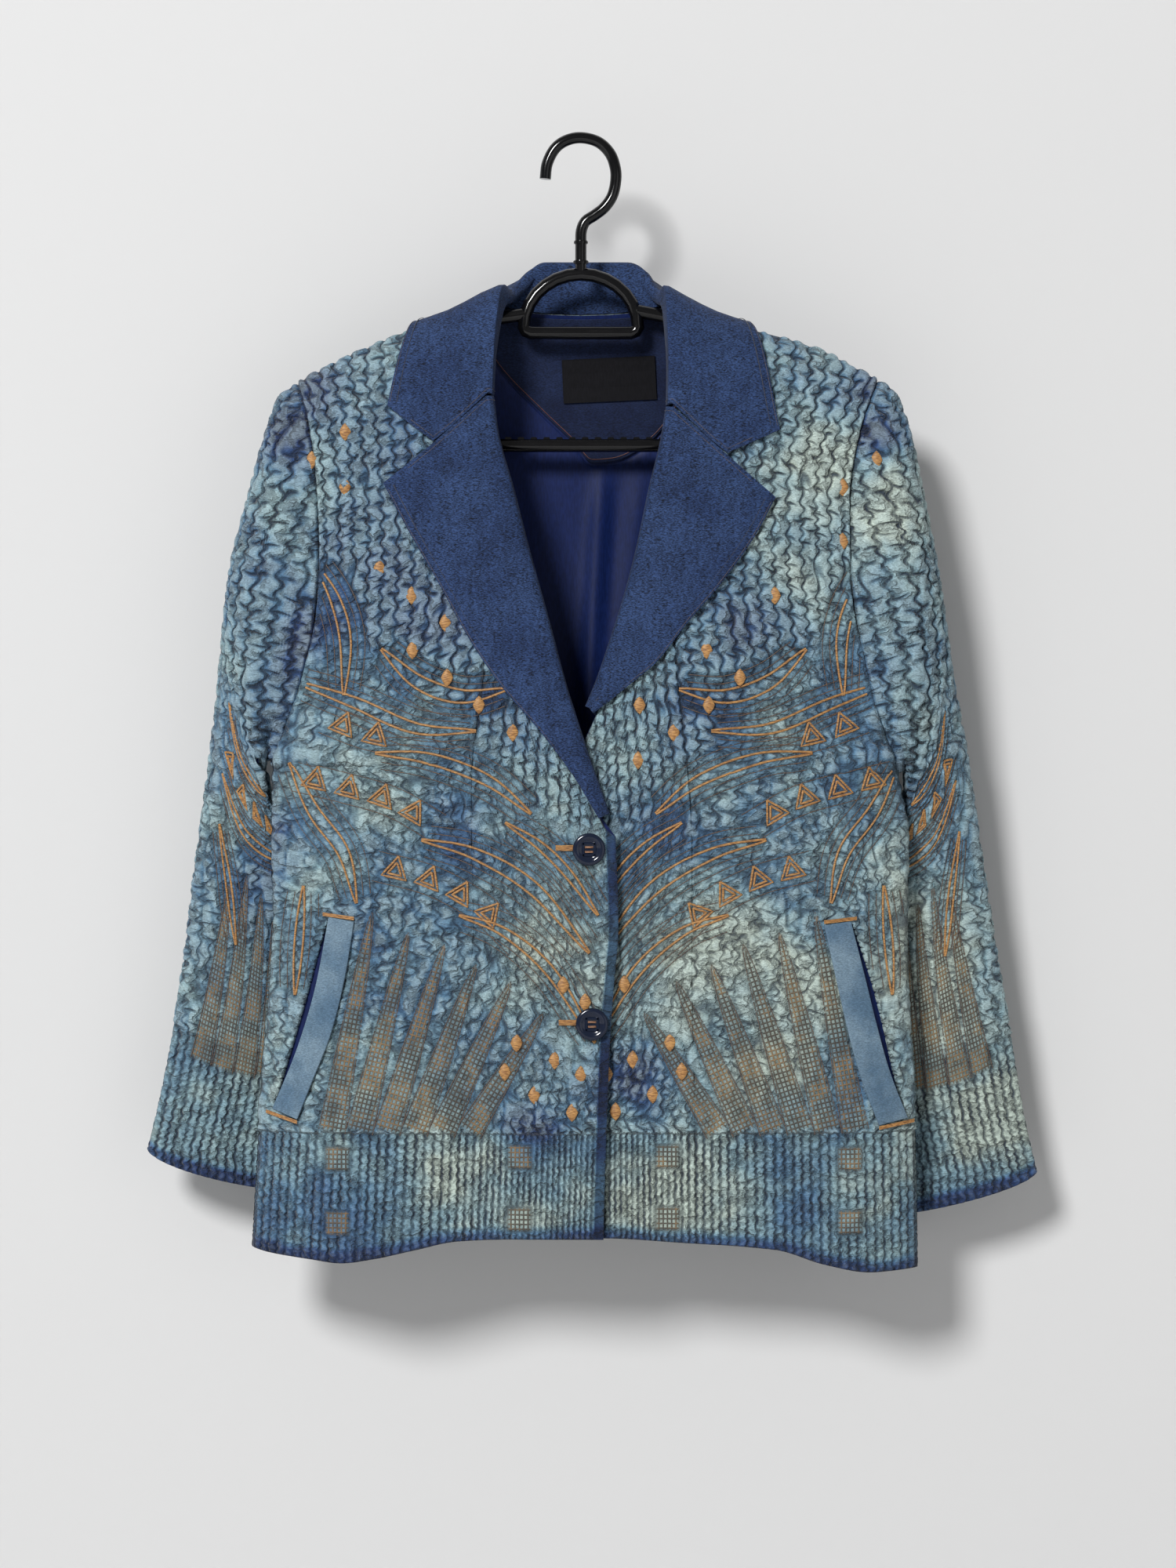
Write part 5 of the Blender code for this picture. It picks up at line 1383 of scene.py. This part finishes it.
# The neck facing's denim is painted darker, as painted shade for its place in shade inside the back
SHADED_FACING_DENIM = plain_denim("facing_denim_painted_shade", (0.005, 0.010, 0.036), (0.010, 0.019, 0.058), 0.5)
PALE = plain_denim("welt_denim", (0.085, 0.15, 0.225), (0.17, 0.25, 0.32), 0.3)
DARK = plain_denim("slit_denim", (0.010, 0.022, 0.07), (0.018, 0.036, 0.10))
LINING = satin("lining_satin", (0.005, 0.014, 0.078), 0.5, 0.16)
TAPE = satin("label_tape", (0.006, 0.006, 0.008), 0.7, 0.12)
ORANGE = thread_material("orange_thread", (0.23, 0.10, 0.028), (0.52, 0.27, 0.085))
BROWN = thread_material("brown_thread", (0.05, 0.035, 0.035), (0.17, 0.10, 0.06))
RUST = thread_material("rust_thread", (0.08, 0.02, 0.02), (0.16, 0.05, 0.03))
# This dark thread is the stitching together with the painted shade of the groove it sinks into
STITCH_AND_GROOVE_SHADE_THREAD = thread_material("stitch_and_groove_shade_thread", (0.006, 0.010, 0.028), (0.02, 0.026, 0.05))
SEAMING = thread_material("seam_thread", (0.02, 0.022, 0.045), (0.10, 0.075, 0.08))
HORN = gloss_plastic("button_resin", (0.006, 0.010, 0.024), 0.12)
PLASTIC = gloss_plastic("hanger_plastic", (0.0025, 0.0025, 0.003), 0.12)

# %% [markdown]
# ## Making pieces
#
# Every piece rides on the one body, and takes the place of a solid of the CAD or lies on one.

# %%
FIELDS = ("line", "pucker", "reach", "pitch", "length", "shirred", "fold_shade", "seam", "dye", "hatch", "hatch_u",
          "hatch_v")


def place(made, slot):
    """Adds a piece to the scene, riding on the one body there is."""
    bpy.context.scene.collection.objects.link(made)
    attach(made, BODY)
    return made


def finished(bm, name, material, slot, sharp=None):
    """Makes a shaded piece of a bmesh, with edges that turn more than sharp degrees left hard."""
    mesh = bpy.data.meshes.new(name)
    bm.to_mesh(mesh)
    bm.free()
    mesh.shade_smooth()
    if sharp:
        mesh.set_sharp_from_angle(angle=math.radians(sharp))
    mesh.materials.append(material)
    return place(bpy.data.objects.new(name, mesh), slot)


def to_metres(bm):
    bmesh.ops.scale(bm, vec=(MM, MM, MM), verts=bm.verts)


def puckered_sheet(name, outside, inside, fields):
    """Cloth with its fields on its points, and a rim that turns in along its edges."""
    rows, columns = outside.shape[:2]
    bm = bmesh.new()
    cell = bm.verts.layers.int.new("cell")
    bmesh.ops.create_grid(bm, x_segments=columns - 1, y_segments=rows - 1, size=0.5)
    points, within = (outside.reshape(-1, 3) * MM).tolist(), (inside.reshape(-1, 3) * MM).tolist()
    opened = (np.ravel(fields["open"]) > 0.5).tolist()
    gone = []
    for vert in bm.verts:
        at = round((0.5 - vert.co.y) * (rows - 1)) * columns + round((vert.co.x + 0.5) * (columns - 1))
        vert[cell] = at
        vert.co = points[at]
        if opened[at]:
            gone.append(vert)
    if gone:
        bmesh.ops.delete(bm, geom=gone, context="VERTS")
    bm.normal_update()
    bm.verts.ensure_lookup_table()
    middle = bm.verts[len(bm.verts) // 2]
    if middle.normal.dot(middle.co - Vector(within[middle[cell]])) < 0:
        bmesh.ops.reverse_faces(bm, faces=bm.faces)
    rim = bmesh.ops.extrude_edge_only(bm, edges=[edge for edge in bm.edges if edge.is_boundary])["geom"]
    for vert in rim:
        if isinstance(vert, bmesh.types.BMVert):
            vert.co = within[vert[cell]]
    made = finished(bm, name, SHIRRED, "shirred_denim")
    mesh = made.data
    cells = np.zeros(len(mesh.vertices), int)
    mesh.attributes["cell"].data.foreach_get("value", cells)
    for field, values in [(key, fields[key]) for key in FIELDS] + [("relief", fields["height"])]:
        data = mesh.attributes.new(field, "FLOAT", "POINT").data
        data.foreach_set("value", np.broadcast_to(values, (rows, columns)).ravel()[cells].astype(np.float32))
    return made


def smooth_sheet(name, grid, material, slot, thick=0.0):
    """A plain sheet through a grid of points, with thickness if it is given."""
    bm = bmesh.new()
    sheet(bm, grid)
    to_metres(bm)
    bmesh.ops.recalc_face_normals(bm, faces=bm.faces)
    made = finished(bm, name, material, slot)
    if thick:
        thicken = made.modifiers.new("thickness", "SOLIDIFY")
        thicken.thickness, thicken.offset = thick * MM, 0
        rounded = made.modifiers.new("edge", "BEVEL")
        rounded.width, rounded.segments, rounded.limit_method = 0.45 * MM, 2, "ANGLE"
        rounded.angle_limit = math.radians(60)
    return made


def threads(name, lines, radius, material, slot, sides=0):
    """Threads along lines of points in millimetres, as one curve piece."""
    curve = bpy.data.curves.new(name, "CURVE")
    curve.dimensions = "3D"
    curve.bevel_depth = radius * MM
    curve.bevel_resolution = sides
    curve.use_fill_caps = True
    for line in lines:
        spline = curve.splines.new("POLY")
        spline.points.add(len(line) - 1)
        for point, co in zip(spline.points, np.asarray(line) * MM):
            point.co = (*co, 1)
        spline.use_smooth = True
    curve.materials.append(material)
    return place(bpy.data.objects.new(name, curve), slot)


# %% [markdown]
# ## Fronts, back and sleeves
#
# Each is one sheet outside with its puckers, and a plain sheet inside.

# %%
FRONT_GRID, BACK_GRID, SLEEVE_GRID = (444, 186), (270, 262), (384, 186)
SEAM_REACH, ALLOWANCE_REACH, ALLOWANCE_SINK = 1.3, 3.2, 1.4  # of a sleeve's top, towards and into the body
pieces = {}


def front_columns(side, count):
    """Columns set closer where the neckline falls steeply, so that no cell is long and thin."""
    c = np.linspace(0, 1, 1500)
    x, z = front_place(side, c, np.zeros_like(c))
    run = np.concatenate([[0], np.cumsum(np.hypot(np.diff(x), 0.3 * np.diff(z)))])
    return np.interp(np.linspace(0, run[-1], count), run, c)


def add_panel(node, outside, rim, inside, fields, steps):
    """A shirred panel in place of its solid, with its plain side within on every few points of the grid."""
    pieces[node] = puckered_sheet(node + "_cloth", outside, rim, fields)
    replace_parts(pieces[node], node)
    coarse = inside[::steps[0], ::steps[1]]
    pieces[node + "_inside"] = smooth_sheet(node + "_inside", coarse, LINING, "lining_satin")


def add_body_panel(node, face, side, x, z, fields, steps):
    outside = shell(face, side, x, z, CLOTH_HALF + fields["height"])
    inside = shell(face, side, x, z, np.full(x.shape, -CLOTH_HALF))
    add_panel(node, outside, inside, inside, fields, steps)


for word, side in SIDES:
    c, v = np.meshgrid(front_columns(side, FRONT_GRID[1]), np.linspace(0, 1, FRONT_GRID[0]))
    x, z = (part.reshape(c.shape) for part in front_place(side, c.ravel(), v.ravel()))
    x = onto_slit(side, x, z)
    add_body_panel("front_" + word, FRONT, side, x, z, front_fields(side, x, z), (12, 9))

c, v = np.meshgrid(np.linspace(0, 1, BACK_GRID[1]), np.linspace(0, 1, BACK_GRID[0]))
x, z = (part.reshape(c.shape) for part in back_place(c.ravel(), v.ravel()))
add_body_panel("back", BACK, 0, x, z, back_fields(c, x, z), (13, 13))

for word, side in SIDES:
    rows, columns = SLEEVE_GRID
    share, v = np.linspace(-1, 1, columns), np.linspace(0, 1, rows)
    middle = np.stack([sleeve_point(side, share, row) for row in v])
    out = side * normals_of(middle)
    out[:, 0] = out[:, -1] = unit(out[:, 0] + out[:, -1])
    around, down = np.meshgrid(share, v)
    fields = sleeve_fields(side, around, down, middle)
    outside = middle + out * (CLOTH_HALF + fields["height"])[..., None]
    outside[0] += unit(middle[0] - middle[1]) * SEAM_REACH
    inside = middle - out * CLOTH_HALF
    rim = inside.copy()
    # The seam allowance turns in under the front and the back
    rim[0] += unit(middle[0] - middle[1]) * ALLOWANCE_REACH - out[0] * ALLOWANCE_SINK
    add_panel("sleeve_" + word, outside, rim, inside, fields, (17, 13))

# %% [markdown]
# ## Embroidery threads and lozenges
#
# Threads are thin curves that follow the relief, and stop at the plain strip, the pocket and the side.

# %%
SATIN_RADIUS, FINE_RADIUS = 0.88, 0.28
SATIN_LIFT, FINE_LIFT = 0.85, 0.6  # of a thread's middle over the cloth
THREAD_TOP = 1.2  # a thread sinks into any pucker higher than this
DOT_LIFT = 2.1


def on_front(side, line, lift):
    """A line over m and z, laid on the cloth of a front. It ends at the plain strip and the pocket."""
    m, z = np.asarray(line, float).T
    x = centre_of(side) + side * m
    fields = front_fields(side, x, z)
    kept = (side * (x - smooth(FRONT_EDGE[side], z)) > EDGE_MARGIN + 1) & (np.abs(x) < half_width(x, z) - 3)
    kept &= ~((fields["open"] > 0.5) | over_welt(side, x, z))
    points = shell(FRONT, side, x, z, CLOTH_HALF + np.minimum(fields["height"], THREAD_TOP) + lift)
    return runs(points, kept)


def over_welt(side, x, z):
    """Whether a place is under the welt, or so near that a thread would run under it."""
    outer = [(r[2], r[1]) for r in WELT[side]["outer"]]
    inner = [(r[2], r[1]) for r in WELT[side]["inner"]]
    beside_it = (side * x > side * smooth(inner, z) - 1) & (side * x < side * smooth(outer, z) + 8)
    return beside_it & (z > outer[-1][0] - 4) & (z < inner[0][0] + 5)


def runs(points, kept):
    """The stretches of a line that are kept."""
    found, run = [], []
    for point, keep in zip(points, kept):
        if keep:
            run.append(point)
        elif run:
            found.append(run)
            run = []
    found.append(run)
    return [np.array(run) for run in found if len(run) > 2]


def on_sleeve(side, line, lift):
    """A line over the way round and down a sleeve, laid on its cloth."""
    around, down = np.asarray(line, float).T
    share, v = around / SLEEVE_AROUND, down / SLEEVE_DOWN
    near = np.array([[sleeve_point(side, np.array([s, s + 0.01]), t) for t in (w, w + 0.005)]
                     for s, w in zip(share, v)])
    across_, along = near[:, 0, 1] - near[:, 0, 0], near[:, 1, 0] - near[:, 0, 0]
    out = unit(np.cross(across_, along)) * side
    middle = near[:, 0, 0]
    fields = sleeve_fields(side, share, v, middle)
    return [middle + out * (CLOTH_HALF + np.minimum(fields["height"], THREAD_TOP) + lift)[:, None]]


def lozenge(bm, centre, out, half):
    """A raised satin-stitched lozenge at a point on the cloth."""
    made = bmesh.ops.create_uvsphere(bm, u_segments=12, v_segments=6, radius=1)["verts"]
    for vert in made:
        x, z, deep = vert.co.x, vert.co.y, vert.co.z
        spread = (abs(x) ** 1.3 + abs(z) ** 1.3) ** (1 / 1.3)
        pinch = math.hypot(x, z) / max(1e-6, spread)
        vert.co = Vector((x * pinch * half[0], 0, z * pinch * half[1])) + Vector(out * deep * 1.1)
        vert.co += Vector(centre)


for word, side in SIDES:
    for panel, lay, satin_lines, fine_lines in (("front", on_front, FRONT_SATIN, FRONT_FINE),
                                                ("sleeve", on_sleeve, SLEEVE_SATIN, SLEEVE_FINE)):
        for kind, lines, radius, lift, material in (("satin", satin_lines, SATIN_RADIUS, SATIN_LIFT, ORANGE),
                                                    ("fine", fine_lines, FINE_RADIUS, FINE_LIFT, BROWN)):
            laid = [run for line in lines for run in lay(side, line, lift)]
            threads(f"{panel}_{word}_{kind}_stitches", laid, radius, material, "shirred_denim")
    bm = bmesh.new()
    for m, z in dots_of(side):
        place_at = np.array(centre_of(side) + side * m), np.array(float(z))
        at = shell(FRONT, side, *place_at, np.array(CLOTH_HALF + DOT_LIFT))
        lozenge(bm, at, unit(at - shell(FRONT, side, *place_at, np.array(0.0))), DOT_HALF)
    to_metres(bm)
    finished(bm, f"front_{word}_lozenges", ORANGE, "shirred_denim")

# %% [markdown]
# ## Collar and lapels

# %%
STITCHES_IN, END_STITCHES_IN = (1.2, 6.0), 3.0
STITCH_LIFT = LAPEL_HALF + 0.15


def leaf_stitches(grid, inset):
    """A line of stitches on the leaf of folded denim, this far in from its outer edge."""
    edge, inner = grid[:, -1], grid[:, -5]
    out = normals_of(grid)[:, -4]
    out = out * np.sign(np.sum(out * (grid[:, -4] - grid[:, 1]), 1, keepdims=True))
    wide = np.linalg.norm(inner - edge, axis=1, keepdims=True)
    return edge + (inner - edge) / np.maximum(wide, 1e-6) * np.minimum(inset, wide) + out * STITCH_LIFT


def end_stitches(grid):
    """A line of stitches on the outer part of a leaf's end, a little in from it."""
    out = normals_of(grid)[1]
    out = out * np.sign(np.sum(out * (grid[1] - grid[1, 1]), 1, keepdims=True))
    inward = unit(grid[2] - grid[0])
    return (grid[0] + inward * END_STITCHES_IN + out * STITCH_LIFT)[-9:-1]


for word, side in SIDES:
    grid = lapel_grid(side, 44)
    pieces["lapel_" + word] = smooth_sheet(f"lapel_{word}_cloth", grid, PLAIN, "plain_denim", 2 * LAPEL_HALF)
    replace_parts(pieces["lapel_" + word], "lapel_" + word)
    edge_line, inner_line = (leaf_stitches(grid, inset)[1:-2] for inset in STITCHES_IN)
    threads(f"lapel_{word}_edge_stitches", [edge_line, end_stitches(grid)], 0.2, SEAMING, "plain_denim")
    threads(f"lapel_{word}_inner_stitches", [inner_line], 0.3, STITCH_AND_GROOVE_SHADE_THREAD, "plain_denim")

grid = collar_grid(60)
edge_line, inner_line = (leaf_stitches(grid, inset)[1:-1] for inset in STITCHES_IN)
ends = [end_stitches(part) for part in (grid, grid[::-1])]
threads("collar_edge_stitches", [edge_line] + ends, 0.2, SEAMING, "plain_denim")
threads("collar_inner_stitches", [inner_line], 0.3, STITCH_AND_GROOVE_SHADE_THREAD, "plain_denim")
pieces["collar"] = smooth_sheet("collar_cloth", grid, PLAIN, "plain_denim", 2 * LAPEL_HALF)
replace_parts(pieces["collar"], "collar")

# %% [markdown]
# ## Inside of the back
#
# The neck facing lies against the back, and the satin lining hangs from it with a soft pleat down the middle.

# %%
first = CLOTH_HALF + INSIDE_GAP + FACING_HALF
x = np.linspace(-70, 70, 57)
v = np.linspace(0, 1, 30)[:, None]
foot = smooth(NECK_FACING_HEM, x)
z = smooth(BACK_NECK, x) - 2 + v * (foot - smooth(BACK_NECK, x) + 2)
xx = np.broadcast_to(x, z.shape)
grid = shell(BACK, 0, xx, z, np.full(z.shape, -first))
pieces["facing"] = smooth_sheet("back_neck_facing_cloth", grid, SHADED_FACING_DENIM, "plain_denim", 2 * FACING_HALF)
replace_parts(pieces["facing"], "back_neck_facing")
seam = shell(BACK, 0, x, foot + 2.5, np.full(x.shape, -first - FACING_HALF - 0.15))
threads("back_neck_facing_stitches", [seam], 0.3, RUST, "plain_denim")

x = np.linspace(-1, 1, 120)
x = x * np.where(x < 0, 176, 181) * (1 - 0.02 * x * x)
lining_top = [(-150, -162), (-100, -140), (100, -144), (150, -160)]
top = smooth(lining_top + [(at, foot_z - 2.5) for at, foot_z in NECK_FACING_HEM], x)
v = np.linspace(0, 1, 90)[:, None]
z = top + v * (smooth(HEM, x) + LINING_HEM_UP - top)
xx = np.broadcast_to(x, z.shape)
falling = ease((-205 - z) / 60)
off = first + 1.0 + falling * (4.5 * np.exp(-(((xx - 11 - 0.06 * (z + 300)) / 7) ** 2))
                               + 2.6 * np.exp(-(((xx - 34 - 0.12 * (z + 300)) / 11) ** 2))
                               + 1.6 * np.exp(-(((xx + 30) / 16) ** 2)) + 0.5 * np.sin(xx / 9 + z / 60))
grid = shell(BACK, 0, xx, z, -off)
pieces["lining"] = smooth_sheet("lining_back_cloth", grid, LINING, "lining_satin", 2 * FACING_HALF)
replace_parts(pieces["lining"], "lining_back")

# %% [markdown]
# ## Pockets, buttons and hanger
#
# The pocket bags and the label are shown as the CAD's own solids.

# %%
def recoloured(node, material):
    """Shows a solid of the CAD as it is, in another material."""
    materials = bpy.data.objects[node].data.materials
    materials.clear()
    materials.append(material)


for word, side in SIDES:
    t = np.linspace(0, 1, 50)
    outer, inner = (np.stack(welt_edge(side, edge, t), 1) for edge in ("outer", "inner"))
    flat = outer[:, None] + (inner - outer)[:, None] * np.linspace(0, 1, 12)[None, :, None]
    grid = shell(FRONT, side, flat[..., 0], flat[..., 1], np.full(flat.shape[:2], CLEAR_OF_RIBS + WELT_HALF))
    pieces["welt_" + word] = smooth_sheet(f"welt_{word}_cloth", grid, PALE, "welt_denim", 2 * WELT_HALF)
    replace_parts(pieces["welt_" + word], "welt_" + word)
    tacks = []
    for end in (0, 1):
        start, stop = outer[-end] + side * np.array([4.0, 0]), inner[-end]
        for row in np.linspace(-0.9, 0.9, 4):
            line = np.linspace(start, stop, 8) + np.array([0, row + (-2.0 if end else 2.0)])
            tacks.append(shell(FRONT, side, *line.T, np.full(8, CLEAR_OF_RIBS + 2 * WELT_HALF - 0.6)))
    threads(f"welt_{word}_bar_tacks", tacks, 0.42, ORANGE, "welt_denim")
    recoloured("pocket_bag_" + word, DARK)

recoloured("label", TAPE)


def turned_button(name, at):
    """A glossy button: a rounded rim, a dished middle and a square recess that the thread crosses."""
    x, z = at
    front = float(body_depth(FRONT, np.array(x), np.array(z)) + lap(RIGHT, x, z))
    y = front - CLOTH_HALF - RIB_HEIGHT - SEAM_GAP - BUTTON_THICK / 2
    radius, half = BUTTON_RADIUS, BUTTON_THICK / 2
    profile = [(0, half - 1.5), (5.4, half - 1.4), (7.0, half - 0.7), (8.0, half - 0.1), (8.9, half),
               (10.2, half - 0.15), (10.9, half - 0.6), (radius, 0), (10.9, -half + 0.6), (10.0, -half),
               (0, -half)]
    bm = bmesh.new()
    verts = [bm.verts.new((r, -h, 0)) for r, h in profile]
    edges = [bm.edges.new(pair) for pair in zip(verts, verts[1:])]
    bmesh.ops.spin(bm, geom=verts + edges, cent=(0, 0, 0), axis=(0, 1, 0), angle=2 * math.pi, steps=72,
                   use_merge=True, use_duplicate=False)
    bmesh.ops.remove_doubles(bm, verts=bm.verts, dist=0.002)
    bmesh.ops.recalc_face_normals(bm, faces=bm.faces)
    # The square frame around the four holes
    for dx, dz, wide, tall in ((-4.0, 0, 0.7, 4.4), (4.0, 0, 0.7, 4.4), (0, -4.0, 4.4, 0.7),
                               (0, 4.0, 4.4, 0.7)):
        ledge = bmesh.ops.create_cube(bm, size=2)["verts"]
        bmesh.ops.scale(bm, vec=(wide, 0.55, tall), verts=ledge)
        bmesh.ops.translate(bm, vec=(dx, -(half - 1.2), dz), verts=ledge)
    bmesh.ops.translate(bm, vec=(x, y, z), verts=bm.verts)
    to_metres(bm)
    made = finished(bm, name, HORN, "button_resin", 40)
    lines = []
    for row in (-1.9, -1.3, 1.3, 1.9):
        arch = [(x - 2.6, 0.1), (x - 1.8, 0.75), (x, 0.95), (x + 1.8, 0.75), (x + 2.6, 0.1)]
        lines.append([(px, y - (half - 1.5) - rise, z + row) for px, rise in arch])
    threads(name + "_thread", lines, 0.4, COPPER, "button_resin", 1)
    return made


COPPER = thread_material("button_thread", (0.16, 0.07, 0.035), (0.38, 0.20, 0.11))
for word, at in zip(("upper", "lower"), BUTTONS):
    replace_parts(turned_button(f"button_{word}_turned", at), "button_" + word)
    x, z = at
    rows = []
    for dz in (-1.5, -0.75, 0.0, 0.75, 1.5):
        line = np.linspace((x - 23, z + 1 + dz), (x - 10, z + 1 + dz), 8)
        rows.append(shell(FRONT, RIGHT, *line.T, np.full(8, CLOTH_HALF + 2.0 - 0.25 * abs(dz))))
    threads(f"buttonhole_{word}", rows, 0.5, ORANGE, "shirred_denim")


def moulded_hanger():
    """The hanger's rods, with the notches on its bar and the collar round its stem."""
    curve = bpy.data.curves.new("hanger_moulding", "CURVE")
    curve.dimensions = "3D"
    curve.bevel_depth = FRAME_ROD * MM
    curve.bevel_resolution = 7
    curve.use_fill_caps = True
    lines = ((through(HOOK, 90), HOOK_ROD / FRAME_ROD, False), (np.array(handle_line()), 1, True),
             (frame_line(), 1, False))
    for line, thick, ring in lines:
        spline = curve.splines.new("POLY")
        spline.points.add(len(line) - 1)
        for point, (x, z) in zip(spline.points, line):
            point.co, point.radius = (x * MM, 0, z * MM, 1), thick
        spline.use_cyclic_u, spline.use_smooth = ring, True
    curve.materials.append(PLASTIC)
    made = place(bpy.data.objects.new("hanger_moulding", curve), "hanger_plastic")
    bm = bmesh.new()
    for x in np.arange(-150, 151, 9.0):
        tooth = bmesh.ops.create_cube(bm, size=1)["verts"]
        bmesh.ops.scale(bm, vec=(4.6, 3.4, 2.2), verts=tooth)
        bmesh.ops.translate(bm, vec=(x, 0, BAR_HEIGHT + FRAME_ROD + 0.2), verts=tooth)
    for z, wide in ((-69.5, 4.9), (-83.5, 5.4)):
        ring = bmesh.ops.create_cone(bm, cap_ends=True, segments=40, radius1=wide, radius2=wide,
                                     depth=2.4)["verts"]
        bmesh.ops.translate(bm, vec=(0, 0, z), verts=ring)
    bmesh.ops.bevel(bm, geom=list(bm.edges), offset=0.5, segments=2, affect="EDGES")
    to_metres(bm)
    finished(bm, "hanger_details", PLASTIC, "hanger_plastic", 40)
    return made


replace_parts(moulded_hanger(), "hanger")
